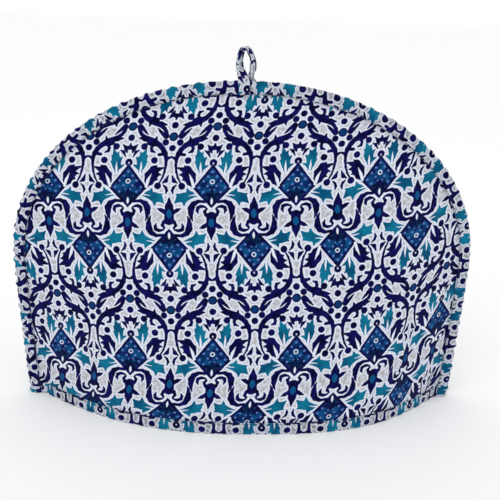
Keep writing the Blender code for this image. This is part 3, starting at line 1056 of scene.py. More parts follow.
    def softness(self, x: np.ndarray, z: np.ndarray) -> np.ndarray:
        """How full the wadding is, from 0 at the strips to 1 a little way inside them."""
        by_arch = 1.0 - np.exp(-self.from_arch(x, z) / self.pillow_reach)
        return by_arch * (1.0 - np.exp(-self.from_hem(z) / self.pillow_reach))

    def face_out(self, x: np.ndarray, z: np.ndarray, side: Side) -> np.ndarray:
        """Distance of a panel's outer face from the seam plane."""
        return self.sheet_out(x, z, side) + self.pillow_height * self.softness(x, z)


@dataclass(frozen=True)
class ClothLie:
    """Where the print lies on a panel, in millimetres and degrees.

    Cloth is measured across from the middle and up from the foot, along the panel's outer face. The
    print is shifted and turned a little, and it is pulled askew towards the panel's corners by the
    cubes of the shares across and up. The front's sizes are a rounded fit to landmarks of the print
    that were read off the photograph; the back's are made up.
    """

    across: float
    up: float
    turn: float
    pull_up: float
    pull_across: float
    pull_lift: float
    half_width: float = 160.0
    middle: float = 110.0
    half_height: float = 120.0
    step: float = 0.0005
    reach: float = 0.18
    top: float = 0.25

    def lengths(self, shape: CosyShape, side: Side, x: np.ndarray, z: np.ndarray) -> np.ndarray:
        """Lengths along the face, across from its middle and up from its foot.

        Args:
            shape: the cosy's shape.
            side: the panel's side.
            x: across, in metres.
            z: up, in metres.

        Returns:
            Rows of the two lengths in millimetres, in the shape of x.
        """
        across = np.arange(-self.reach, self.reach + self.step, self.step)
        up = np.arange(0.0, self.top, self.step)
        grid_x, grid_z = np.meshgrid(across, up)
        out = shape.face_out(grid_x, grid_z, side)
        run = np.hypot(1.0, np.gradient(out, self.step, axis=1)) * self.step
        rise = np.hypot(1.0, np.gradient(out, self.step, axis=0)) * self.step
        sideways = np.cumsum(run, axis=1)
        sideways -= sideways[:, [len(across) // 2]]
        upwards = np.cumsum(rise, axis=0)
        upwards -= upwards[[0], :]
        right = np.clip((x + self.reach) / self.step, 0.0, len(across) - 2.0)
        high = np.clip(z / self.step, 0.0, len(up) - 2.0)
        first, low = right.astype(int), high.astype(int)
        share, lift = right - first, high - low
        both = np.stack([sideways, upwards], axis=-1) * MILLIMETRES
        share, lift = share[..., None], lift[..., None]
        below = both[low, first] * (1.0 - share) + both[low, first + 1] * share
        above = both[low + 1, first] * (1.0 - share) + both[low + 1, first + 1] * share
        return below * (1.0 - lift) + above * lift

    def place(self, shape: CosyShape, side: Side, x: np.ndarray, z: np.ndarray) -> np.ndarray:
        """Each point's place on the print, in millimetres.

        Args:
            shape: the cosy's shape.
            side: the panel's side.
            x: across, in metres.
            z: up, in metres.

        Returns:
            Rows of the places across and up, in the shape of x.
        """
        lengths = self.lengths(shape, side, x, z)
        sideways = x * MILLIMETRES / self.half_width
        upwards = (z * MILLIMETRES - self.middle) / self.half_height
        right = lengths[..., 0] - self.across - self.pull_up * upwards**3 - self.pull_across * sideways**3
        high = lengths[..., 1] - self.up - self.pull_lift * sideways**3
        turn = math.radians(self.turn)
        return np.stack(
            [
                right * math.cos(turn) + high * math.sin(turn),
                high * math.cos(turn) - right * math.sin(turn),
            ],
            axis=-1,
        )


# --------------------------------------------------------------------------------------------------
# Meshes
# --------------------------------------------------------------------------------------------------


@dataclass
class Surface:
    """Points, faces, places on the print and finishes of a piece."""

    points: np.ndarray
    quads: np.ndarray
    places: np.ndarray
    triangles: np.ndarray | None = None
    finish: np.ndarray | None = None

    def mirrored(self) -> "Surface":
        """The same piece on the other side of the seam plane.

        Returns:
            The mirrored surface, its faces still pointing outwards.
        """
        triangles = None if self.triangles is None else self.triangles[:, ::-1]
        return Surface(
            self.points * (1.0, -1.0, 1.0), self.quads[:, ::-1], self.places, triangles, self.finish
        )

    def piece(self, name: str, materials: Sequence[bpy.types.Material]) -> bpy.types.Object:
        """Put the surface into a mesh object.

        Args:
            name: the piece's name.
            materials: its finishes, in the order that the faces name them by.

        Returns:
            The object, at the origin.
        """
        mesh = bpy.data.meshes.new(name)
        corners = [self.quads.ravel()]
        sizes = [np.full(len(self.quads), 4)]
        if self.triangles is not None:
            corners.append(self.triangles.ravel())
            sizes.append(np.full(len(self.triangles), 3))
        corner = np.concatenate(corners).astype(np.int32)
        size = np.concatenate(sizes).astype(np.int32)
        mesh.vertices.add(len(self.points))
        mesh.vertices.foreach_set("co", self.points.astype(np.float32).ravel())
        mesh.loops.add(len(corner))
        mesh.loops.foreach_set("vertex_index", corner)
        mesh.polygons.add(len(size))
        starts = np.concatenate([[0], np.cumsum(size)[:-1]]).astype(np.int32)
        mesh.polygons.foreach_set("loop_start", starts)
        if self.finish is not None:
            mesh.polygons.foreach_set("material_index", self.finish.astype(np.int32))
        mesh.update(calc_edges=True)
        mesh.validate()
        places = np.column_stack([self.places, np.zeros(len(self.places))]).astype(np.float32)
        mesh.attributes.new(PLACE, "FLOAT_VECTOR", "POINT").data.foreach_set("vector", places.ravel())
        mesh.shade_smooth()
        for material in materials:
            mesh.materials.append(material)
        made = bpy.data.objects.new(name, mesh)
        bpy.context.scene.collection.objects.link(made)
        return made


def closed_sheet(outer: np.ndarray, inner: np.ndarray, places: np.ndarray) -> Surface:
    """A solid sheet between two grids of the same size, joined round their rims.

    Args:
        outer: the outer face's points by row and column.
        inner: the inner face's points.
        places: the outer face's places on the print.

    Returns:
        The surface; its finish is 0 outside and round the rim, and 1 inside.
    """
    rows, columns, _ = outer.shape
    count = rows * columns
    number = np.arange(count).reshape(rows, columns)
    a, b = number[:-1, :-1].ravel(), number[:-1, 1:].ravel()
    c, d = number[1:, 1:].ravel(), number[1:, :-1].ravel()
    faces = np.concatenate([np.column_stack([a, b, c, d]), np.column_stack([d, c, b, a]) + count])
    rim = np.concatenate([number[0, :], number[1:, -1], number[-1, -2::-1], number[-2:0:-1, 0]])
    after = np.roll(rim, -1)
    sides = np.column_stack([after, rim, rim + count, after + count])
    finish = np.concatenate([np.zeros(len(a)), np.ones(len(a)), np.zeros(len(sides))])
    return Surface(
        np.concatenate([outer.reshape(-1, 3), inner.reshape(-1, 3)]),
        np.concatenate([faces, sides]),
        np.tile(places.reshape(-1, 2), (2, 1)),
        finish=finish,
    )


def swept(sections: np.ndarray, places: np.ndarray) -> Surface:
    """A closed section carried along a path, each end closed by a fan of triangles.

    Args:
        sections: points by station and by step round the section.
        places: their places on the print.

    Returns:
        The surface.
    """
    stations, around, _ = sections.shape
    number = np.arange(stations * around).reshape(stations, around)
    following = np.roll(number, -1, axis=1)
    quads = np.stack([number[:-1], following[:-1], following[1:], number[1:]], axis=-1).reshape(-1, 4)
    first, last = stations * around, stations * around + 1
    start = np.column_stack([following[0], number[0], np.full(around, first)])
    end = np.column_stack([number[-1], following[-1], np.full(around, last)])
    ends = np.stack([sections[0].mean(axis=0), sections[-1].mean(axis=0)])
    end_places = np.stack([places[0].mean(axis=0), places[-1].mean(axis=0)])
    return Surface(
        np.concatenate([sections.reshape(-1, 3), ends]),
        quads,
        np.concatenate([places.reshape(-1, 2), end_places]),
        triangles=np.concatenate([start, end]),
    )


def evenly_spaced(points: np.ndarray, count: int) -> np.ndarray:
    """The same line with this many points at equal steps along it.

    Args:
        points: the line's points, one a row.
        count: how many points to make.

    Returns:
        The new points, one a row.
    """
    along = run_lengths(points)
    wanted = np.linspace(0.0, along[-1], count)
    return np.column_stack([np.interp(wanted, along, points[:, i]) for i in range(points.shape[1])])


def smooth_line(rows: np.ndarray, steps: int, closed: bool = False) -> np.ndarray:
    """A Catmull-Rom curve through the rows given.

    Args:
        rows: the points, one a row.
        steps: how many steps there are from each row to the next.
        closed: whether the last row leads back to the first.

    Returns:
        The curve's points, one a row, with the last row only where the curve is open.
    """
    if closed:
        padded = np.concatenate([rows[-1:], rows, rows[:2]])
    else:
        padded = np.concatenate([[2.0 * rows[0] - rows[1]], rows, [2.0 * rows[-1] - rows[-2]]])
    before, start, end, after = padded[:-3], padded[1:-2], padded[2:-1], padded[3:]
    t = np.linspace(0.0, 1.0, steps, endpoint=False)[None, :, None]
    before, start, end, after = (part[:, None, :] for part in (before, start, end, after))
    curve = 0.5 * (
        2.0 * start
        + (end - before) * t
        + (2.0 * before - 5.0 * start + 4.0 * end - after) * t**2
        + (3.0 * start - before - 3.0 * end + after) * t**3
    )
    line = curve.reshape(-1, rows.shape[1])
    return line if closed else np.concatenate([line, rows[-1:]])


@dataclass(frozen=True)
class Ripple:
    """Uneven ripples: waves of about one length, each with its own phase and a slightly other length."""

    wavelength: float
    height: float
    waves: int = 5
    spread: float = 0.35

    def along(self, run: np.ndarray, seed: int) -> np.ndarray:
        """Ripples along a line.

        Args:
            run: the length along the line.
            seed: chooses the phases.

        Returns:
            The lift at each length.
        """
        random = np.random.default_rng(SEED + seed)
        lengths = self.wavelength * (1.0 + self.spread * random.uniform(-1.0, 1.0, self.waves))
        phases = random.uniform(0.0, 2.0 * np.pi, self.waves)
        waves = np.sin(2.0 * np.pi * run[..., None] / lengths + phases)
        return self.height * waves.sum(axis=-1) / math.sqrt(self.waves)

    def over(self, x: np.ndarray, z: np.ndarray, seed: int) -> np.ndarray:
        """Ripples over a sheet, each wave in its own direction.

        Args:
            x: across, in metres.
            z: up, in metres.
            seed: chooses the directions and phases.

        Returns:
            The lift at each place.
        """
        random = np.random.default_rng(SEED + seed)
        turns = random.uniform(0.0, np.pi, self.waves)
        total = np.zeros_like(x)
        for number, turn in enumerate(turns):
            run = x * math.cos(turn) + z * math.sin(turn)
            total += Ripple(self.wavelength, self.height, 1, self.spread).along(run, seed + number)
        return total / math.sqrt(self.waves)


# --------------------------------------------------------------------------------------------------
# The pieces
# --------------------------------------------------------------------------------------------------


@dataclass
class ClothPanel:
    """One wadded panel of printed cotton, plain inside."""

    name: str
    side: Side
    shape: CosyShape
    lie: ClothLie
    inner_rings: int = 96
    near_rings: int = 26
    edge_rings: int = 8
    near_reach: float = 0.016
    skirt_rows: int = 14
    skirt_top: float = 0.018
    foot: float = 0.0013
    wrinkles: Ripple = Ripple(0.026, 0.00022, 7)
    creases: Ripple = Ripple(0.011, 0.00010, 9)
    arch_puckers: Ripple = Ripple(0.0075, 0.00045, 4)
    hem_puckers: Ripple = Ripple(0.0070, 0.00035, 4)
    pucker_reach: float = 0.005
    ripple_reach: float = 0.003
    crease_seed: int = 100
    arch_seed: int = 1
    hem_seed: int = 2
    flat_width: float = 0.3507
    flat_length: float = 0.2436

    def reaches(self, ring: np.ndarray, crease: np.ndarray, edge: np.ndarray) -> np.ndarray:
        """How far out each ring lies, for the crease's and the edge's distance in its direction.

        Args:
            ring: the number of each point's ring.
            crease: the distance to the crease in its direction.
            edge: the distance to the panel's edge in its direction.

        Returns:
            The distance of each point.
        """
        inner = ring / self.inner_rings * (crease - self.near_reach)
        near_share = (ring - self.inner_rings) / self.near_rings
        near = crease - self.near_reach * (1.0 - near_share)
        last = self.inner_rings + self.near_rings
        flat = crease + (ring - last) / self.edge_rings * (edge - crease)
        return np.where(ring <= self.inner_rings, inner, np.where(ring <= last, near, flat))

    def grid(self) -> tuple[np.ndarray, np.ndarray, np.ndarray]:
        """Seam-plane places of the panel's points.

        The lowest rows are level. Above them a square of columns and rows is bent onto a half disc
        ring by ring, so that its lower side stays straight and its other three become the arch.

        Returns:
            x, z, and the share of the way from the crease to the panel's edge.
        """
        last = self.inner_rings + self.near_rings
        half = last + self.edge_rings
        across, up = np.meshgrid(np.arange(-half, half + 1), np.arange(half + 1))
        ring = np.maximum(np.abs(across), up)
        safe = np.maximum(ring, 1)
        right_side = 0.25 * np.pi * up / safe
        side_angle = np.where(across >= 0, right_side, np.pi - right_side)
        angle = np.where(np.abs(across) >= up, side_angle, 0.5 * np.pi - 0.25 * np.pi * across / safe)
        crease = self.shape.reach(angle, self.shape.crease_inset, self.skirt_top)
        edge = self.shape.reach(angle, self.shape.edge_inset, self.skirt_top)
        radius = self.reaches(ring, crease, edge)
        heights = np.linspace(self.foot, self.skirt_top, self.skirt_rows, endpoint=False)
        skirt_z = np.repeat(heights[:, None], 2 * half + 1, axis=1)
        skirt_across = np.repeat(across[:1], self.skirt_rows, axis=0)
        crease = self.shape.half_width(skirt_z, self.shape.crease_inset)
        edge = self.shape.half_width(skirt_z, self.shape.edge_inset)
        skirt_x = np.sign(skirt_across) * self.reaches(np.abs(skirt_across), crease, edge)
        share = np.clip((np.concatenate([np.abs(skirt_across), ring]) - last) / self.edge_rings, 0.0, 1.0)
        x = np.concatenate([skirt_x, radius * np.cos(angle)])
        z = np.concatenate([skirt_z, self.skirt_top + radius * np.sin(angle)])
        return x, z, share

    def ripples(self, x: np.ndarray, z: np.ndarray) -> np.ndarray:
        """Small lifts of the outer face: broad wrinkles, and puckers drawn in by the strips' stitches.

        Args:
            x: across, in metres.
            z: up, in metres.

        Returns:
            The lift at each place.
        """
        seed = Seed.FRONT_PANEL if self.side is Side.FRONT else Seed.BACK_PANEL
        from_arch = self.shape.from_arch(x, z)
        from_hem = self.shape.from_hem(z)
        by_arch = 1.0 - np.exp(-from_arch / self.ripple_reach)
        soft = by_arch * (1.0 - np.exp(-from_hem / self.ripple_reach))
        turn = np.arctan2(z, x)
        lift = self.wrinkles.over(x, z, seed) + self.creases.over(x, z, seed + self.crease_seed)
        run = turn * self.shape.widest_half_width
        arch_puckers = self.arch_puckers.along(run, seed + self.arch_seed)
        lift += np.exp(-from_arch / self.pucker_reach) * arch_puckers
        hem_puckers = self.hem_puckers.along(x, seed + self.hem_seed)
        lift += np.exp(-from_hem / self.pucker_reach) * hem_puckers
        return soft * lift

    def surface(self) -> Surface:
        """The panel's two faces.

        The inner face lies the cloth's thickness behind the outer one, square to it, and stays on
        its own side of the seam plane. The wadding is thin beside the strips and full inside them.

        Returns:
            The closed sheet.
        """
        shape, side = self.shape, self.side
        x, z, share = self.grid()
        soft = shape.softness(x, z)
        step = SLOPE_STEP
        slope_x = (shape.sheet_out(x + step, z, side) - shape.sheet_out(x - step, z, side)) / (2.0 * step)
        slope_z = (shape.sheet_out(x, z + step, side) - shape.sheet_out(x, z - step, side)) / (2.0 * step)
        normal = unit_rows(np.stack([-slope_x, -np.ones_like(x), -slope_z], axis=-1))
        plain = np.stack([x, -(shape.sheet_out(x, z, side) + shape.pillow_height * soft), z], axis=-1)
        thickness = shape.flat_thickness + (shape.wadded_thickness - shape.flat_thickness) * soft
        ripples = self.ripples(x, z)[..., None]
        outer = plain + normal * ripples
        inner = plain - normal * (thickness[..., None] + 0.5 * ripples)
        inner[..., 1] = np.minimum(inner[..., 1], -shape.seam_gap(z))
        inner[0, :, 2] = plain[0, :, 2]
        inner[share > 0.0, 0::2] = plain[share > 0.0, 0::2]
        outer[share == 1.0, 1] += shape.flat_thickness - shape.edge_thickness
        return closed_sheet(outer, inner, self.lie.place(shape, side, x, z))

    def build(self, printed: bpy.types.Material, plain: bpy.types.Material) -> bpy.types.Object:
        """The dressed panel.

        Args:
            printed: the outside's finish.
            plain: the inside's finish.

        Returns:
            The panel.
        """
        surface = self.surface()
        if self.side is Side.BACK:
            surface = surface.mirrored()
        return surface.piece(self.name, [printed, plain])


# Section of a hem strip. The columns are the offset out from the panel's outer face, less than nothing
# inside it, and the height.
HEM_SECTION = (
    (0.0007, 0.0000),
    (0.0014, 0.0009),
    (0.0017, 0.0042),
    (0.0014, 0.0075),
    (0.0009, 0.0083),
    (0.0004, 0.0080),
    (0.0004, 0.0010),
    (-0.0030, 0.0010),
    (-0.0030, 0.0080),
    (-0.0035, 0.0083),
    (-0.0039, 0.0075),
    (-0.0039, 0.0009),
    (-0.0032, 0.0000),
)


@dataclass
class HemBinding:
    """A strip of the print folded round a panel's lower edge.

    Where the print falls along it was set from seventeen marks of the print on the front strip, read
    off the photograph.
    """

    name: str
    side: Side
    shape: CosyShape
    stations: int = 421
    spread: float = 1.3
    steps: int = 4
    foot: float = 0.0013
    waves: Ripple = Ripple(0.0068, 0.00022, 4)
    repeat_width: float = 57.2
    pulled_repeat_width: float = 59.7
    leaf_split: float = -0.0013
    section_middle: float = -0.00125
    face_reach: float = 0.0021
    print_shift: float = 16.4
    fold_up: float = 30.8
    flat_width: float = 0.0205
    flat_length: float = 0.330

    def sections(self) -> tuple[np.ndarray, np.ndarray]:
        """The strip's section at each step across the foot, between the arch binding's two ends.

        Each line of the strip is parallel to the panel's outer face at its own height. The leaves
        swell and sink a little between stitches.

        Returns:
            The points, and their places on the print.
        """
        section = smooth_line(np.array(HEM_SECTION), self.steps, closed=True)
        out, height = section[:, 0], np.clip(section[:, 1], 0.0, self.shape.hem_strip_width)
        spread = np.sin(np.linspace(-1.0, 1.0, self.stations) * self.spread) / math.sin(self.spread)
        fine = np.linspace(-self.shape.foot_half_width, self.shape.foot_half_width, OUTLINE_SAMPLES)
        points = np.zeros((self.stations, len(out), 3))
        places = np.zeros((self.stations, len(out), 2))
        outward = np.where(out > self.leaf_split, 1.0, -1.0)
        swell = np.sin(np.pi * np.clip(height / self.shape.hem_strip_width, 0.0, 1.0))
        visible = np.abs(out - self.section_middle) > self.face_reach
        seed = Seed.FRONT_HEM if self.side is Side.FRONT else Seed.BACK_HEM
        print_scale = self.repeat_width / self.pulled_repeat_width
        for index, (offset, level) in enumerate(zip(out, height)):
            x = spread * self.shape.half_width(level, self.shape.arch_strip_width + self.shape.strip_gap)
            face = self.shape.sheet_out(fine, np.full_like(fine, max(level, self.foot)), self.side)
            slope = np.gradient(face, fine)
            length = np.hypot(1.0, slope)
            along = np.concatenate([[0.0], np.cumsum(np.hypot(np.diff(fine), np.diff(face)))])
            along = np.interp(x, fine, along - along[len(along) // 2])
            lift = visible[index] * swell[index] * outward[index] * self.waves.along(along, seed)
            moved_x = fine - offset * slope / length
            moved_y = face + offset / length
            points[:, index, 0] = x
            points[:, index, 1] = -(np.interp(x, moved_x, moved_y) + lift)
            points[:, index, 2] = level
            places[:, index, 0] = (along * MILLIMETRES + self.print_shift) * print_scale
            places[:, index, 1] = self.fold_up - outward[index] * level * MILLIMETRES
        return points[:, ::-1], places[:, ::-1]

    def build(self, printed: bpy.types.Material) -> bpy.types.Object:
        """The dressed strip.

        Args:
            printed: the strip's finish.

        Returns:
            The strip.
        """
        surface = swept(*self.sections())
        if self.side is Side.BACK:
            surface = surface.mirrored()
        return surface.piece(self.name, [printed])


# Section of the arch strip's front half, from its stitched edge round to the fold, and of its lining. The
# columns are how far inside the outer edge, and how far proud of the panel's flat edge.
ARCH_OUTER_SECTION = (
    (0.0086, 0.0004),
    (0.0087, 0.0010),
    (0.0078, 0.0015),
    (0.0050, 0.0017),
    (0.0025, 0.0012),
    (0.0008, 0.0000),
    (0.0000, -0.0015),
)
ARCH_INNER_SECTION = (
    (0.0010, -0.0009),
    (0.0040, 0.0003),
    (0.0084, 0.0003),
)


@dataclass
class ArchBinding:
    """The strip of the print folded round the panels' joined edges.

    Where the print falls along it, counted in half repeats, is a straight line fitted to nineteen marks
    of the print that were read off the photograph.
    """

    name: str
    shape: CosyShape
    stations: int = 721
    steps: int = 3
    face_waves: Ripple = Ripple(0.0062, 0.00030, 4)
    edge_waves: Ripple = Ripple(0.0072, 0.00045, 4)
    edge_reach: float = 0.003
    half_repeats: float = 11.079
    first_half_repeat: float = 10.398
    half_repeat: float = 28.6
    left_up: float = 29.8
    right_up: float = 22.5
    flat_width: float = 0.0215
    flat_length: float = 0.6856

    def sections(self) -> tuple[np.ndarray, np.ndarray]:
        """The folded strip's section at each step from the left foot over the top to the right foot.

        The front half and the back half mirror each other, and the lining half lies on the panels.
        The fold wanders in and out, and the faces swell and sink a little between stitches.

        Returns:
            The points, and their places on the print.
        """
        front_rows = smooth_line(np.array(ARCH_OUTER_SECTION), self.steps)
        lining_rows = np.array(ARCH_INNER_SECTION)
        rows = np.concatenate([front_rows, front_rows[-2::-1], lining_rows[::-1], lining_rows])
        front, lining = len(front_rows), len(lining_rows)
        half_turns = (front - 1, 1, front - 1, lining, lining)
        side = np.repeat([-1.0, 0.0, 1.0, 1.0, -1.0], half_turns)
        is_face = np.repeat([1.0, 1.0, 1.0, 0.0, 0.0], half_turns)
        inset, proud = rows[:, 0], rows[:, 1]
        line = evenly_spaced(self.shape.outline(0.0), self.stations)
        along = run_lengths(line)
        direction = unit_rows(np.gradient(line, axis=0))
        inward = np.column_stack([direction[:, 1], -direction[:, 0]])
        inward[0], inward[-1] = (1.0, 0.0), (-1.0, 0.0)
        swell = is_face * np.sin(np.pi * np.clip(inset / self.shape.arch_strip_width, 0.0, 1.0))
        near_edge = is_face * (1.0 - smooth_step(inset / self.edge_reach))
        wander = self.edge_waves.along(along, Seed.ARCH_EDGE)
        front_wave = self.face_waves.along(along, Seed.ARCH_FRONT)
        back_wave = self.face_waves.along(along, Seed.ARCH_BACK)
        face_wave = np.where(side < 0.0, front_wave[:, None], back_wave[:, None])
        moved = inset - wander[:, None] * near_edge
        x = line[:, 0][:, None] + inward[:, 0][:, None] * moved
        z = line[:, 1][:, None] + inward[:, 1][:, None] * moved
        flat_edge = self.shape.seam_gap(line[:, 1])[:, None] + self.shape.flat_thickness
        y = side * (flat_edge + proud + face_wave * swell)
        fold = self.left_up + (self.right_up - self.left_up) * along / along[-1]
        reach = np.where(side > 0.0, -1.0, 1.0) * inset * MILLIMETRES
        middle = 0.5 * along[-1]
        index = self.half_repeats * (along / middle - 1.0) + self.first_half_repeat
        places = np.stack(
            np.broadcast_arrays((self.half_repeat * index)[:, None], fold[:, None] + reach), axis=-1
        )
        points = np.stack([x, y, np.maximum(z, 0.0)], axis=-1)
        return points[:, ::-1], places[:, ::-1]

    def build(self, printed: bpy.types.Material) -> bpy.types.Object:
        """The dressed strip."""
        return swept(*self.sections()).piece(self.name, [printed])


# Section of the loop, in half widths across and half thicknesses through.
LOOP_SECTION = (
    (1.0, 0.45),
    (0.72, 1.0),
    (-0.72, 1.0),
    (-1.0, 0.45),
    (-1.0, -0.45),
    (-0.72, -1.0),
    (0.72, -1.0),
    (1.0, -0.45),
)
# Path of the loop. The columns are x, y and z in metres, and the way that its flat width points, in
# degrees from +X towards +Y.
LOOP_PATH = (
    (-0.0028, -0.0060, 0.2278, 0.0),
    (-0.0029, -0.0060, 0.2312, 0.0),
    (-0.0032, -0.0056, 0.2362, 6.0),
    (-0.0043, -0.0036, 0.2404, 34.0),
    (-0.0060, -0.0018, 0.2456, 58.0),
    (-0.0061, -0.0006, 0.2515, 66.0),
    (-0.0043, 0.0000, 0.2569, 66.0),
    (-0.0008, 0.0002, 0.2573, 66.0),
    (0.0019, 0.0004, 0.2528, 74.0),
    (0.0029, 0.0010, 0.2470, 64.0),
    (0.0027, 0.0022, 0.2424, 68.0),
    (0.0022, 0.0042, 0.2392, 112.0),
    (0.0017, 0.0058, 0.2360, 164.0),
    (0.0013, 0.0060, 0.2312, 177.0),
    (0.0011, 0.0060, 0.2278, 180.0),
)


@dataclass
class HangingLoop:
    """A narrow folded strip bent into a loop over the top."""

    name: str
    path_steps: int = 14
    section_steps: int = 3
    width: float = 0.0074
    thickness: float = 0.0025
    wave: Ripple = Ripple(0.006, 0.00015, 3)
    print_along: float = 26.7
    print_up: float = 22.0
    flat_width: float = 0.0100
    flat_length: float = 0.0680

    def sections(self) -> tuple[np.ndarray, np.ndarray]:
        """The loop's flat strip at each step, its width turned by the heading.

        Returns:
            The points, and their places on the print.
        """
        path = smooth_line(np.array(LOOP_PATH), self.path_steps)
        centre, heading = path[:, :3], np.radians(path[:, 3])
        direction = unit_rows(np.gradient(centre, axis=0))
        width = np.column_stack([np.cos(heading), np.sin(heading), np.zeros(len(heading))])
        width = unit_rows(width - np.sum(width * direction, axis=1)[:, None] * direction)
        through = np.cross(direction, width)
        section = smooth_line(np.array(LOOP_SECTION), self.section_steps, closed=True)
        along = run_lengths(centre)
        swell = 1.0 + self.wave.along(along, Seed.LOOP) / self.thickness
        half_width = 0.5 * self.width * section[:, 0]
        half_thick = 0.5 * self.thickness * section[:, 1]
        sideways = half_width[None, :, None] * width[:, None, :]
        outwards = half_thick[None, :, None] * swell[:, None, None] * through[:, None, :]
        around = np.where(section[:, 1] < 0.0, half_width, 0.5 * self.width + half_width)
        places = np.stack(
            np.broadcast_arrays(
                self.print_along + around[None, :] * MILLIMETRES,
                self.print_up + along[:, None] * MILLIMETRES,
            ),
            axis=-1,
        )
        return centre[:, None, :] + sideways + outwards, places

    def build(self, printed: bpy.types.Material) -> bpy.types.Object:
        """The dressed loop."""
        return swept(*self.sections()).piece(self.name, [printed])


@dataclass
class StitchRows:
    """Machine stitches that hold a strip, sunk a little into it. Each is a short round-ended thread."""

    name: str
    length: float = 0.0025
    pitch: float = 0.0029
    radius: float = 0.00021
    # The arch row lies just inside the strip's inner edge, so that its navy thread also paints the shadow
    # line there.
    arch_inset: float = 0.0081
    hem_height: float = 0.0077
    proud: float = 0.0015
    hem_half_length: float = 0.150
    samples: int = 1200
    sides: int = 6
    rings: tuple[float, ...] = (0.0, 0.12, 0.5, 0.88, 1.0)
    tip_share: float = 0.02
    bluntness: float = 0.35
    sink_power: int = 4

    def template(self) -> tuple[np.ndarray, np.ndarray]:
        """One stitch's points in its own directions, and its faces: a tube that narrows at both ends.

        Returns:
            The points, and the faces by the numbers of their points.
        """
        share = np.array(self.rings)
        swell = np.sin(np.pi * np.clip(share, self.tip_share, 1.0 - self.tip_share)) ** self.bluntness
        turn = np.linspace(0.0, 2.0 * np.pi, self.sides, endpoint=False)
        along = np.repeat((share - 0.5) * self.length, self.sides)
        across = (swell[:, None] * np.cos(turn) * self.radius).ravel()
        out = (swell[:, None] * np.sin(turn) * self.radius).ravel()
        out = out - self.radius * (2.0 * np.repeat(share, self.sides) - 1.0) ** self.sink_power
        number = np.arange(len(share) * self.sides).reshape(len(share), self.sides)
        following = np.roll(number, -1, axis=1)
        quads = np.stack([number[:-1], number[1:], following[1:], following[:-1]], axis=-1)
        return np.column_stack([along, across, out]), quads.reshape(-1, 4)

    def row(self, line: np.ndarray, outward: np.ndarray) -> Surface:
        """Stitches at equal steps along a line.

        Args:
            line: the line's points.
            outward: the direction out of the cloth at each.

        Returns:
            All the row's stitches.
        """
        along = run_lengths(line)
        middles = np.arange(self.pitch, along[-1] - self.pitch, self.pitch)
        count = len(middles)

        def at(wanted: np.ndarray, rows: np.ndarray) -> np.ndarray:
            """Rows read at lengths along the line."""
            return np.column_stack([np.interp(wanted, along, rows[:, i]) for i in range(3)])

        centre = at(middles, line)
        half = 0.5 * self.length
        direction = unit_rows(at(middles + half, line) - at(middles - half, line))
        out = at(middles, outward)
        out = unit_rows(out - np.sum(out * direction, axis=1)[:, None] * direction)
        across = np.cross(out, direction)
        points, quads = self.template()
        placed = (
            centre[:, None]
            + points[None, :, 0, None] * direction[:, None]
            + points[None, :, 1, None] * across[:, None]
            + points[None, :, 2, None] * out[:, None]
        )
        ring = self.sides
        size = len(points)
        caps = np.stack([np.arange(ring)[::-1], np.arange(size - ring, size)])
        fans = np.concatenate([np.column_stack([np.full(ring - 2, c[0]), c[1:-1], c[2:]]) for c in caps])
        starts = np.arange(count)[:, None, None] * size
        return Surface(
            placed.reshape(-1, 3),
            (quads[None] + starts).reshape(-1, 4),
            np.zeros((count * size, 2)),
            triangles=(fans[None] + starts).reshape(-1, 3),
        )


def joined(surfaces: Sequence[Surface]) -> Surface:
    """Several surfaces as one.

    Args:
        surfaces: the surfaces, each with triangles.

    Returns:
        One surface with all their points and faces.
    """
    starts = np.cumsum([0] + [len(surface.points) for surface in surfaces[:-1]])
    return Surface(
        np.concatenate([surface.points for surface in surfaces]),
        np.concatenate([surface.quads + start for surface, start in zip(surfaces, starts)]),
        np.concatenate([surface.places for surface in surfaces]),
        triangles=np.concatenate([surface.triangles + start for surface, start in zip(surfaces, starts)]),
    )


# --------------------------------------------------------------------------------------------------
# The studio
# --------------------------------------------------------------------------------------------------


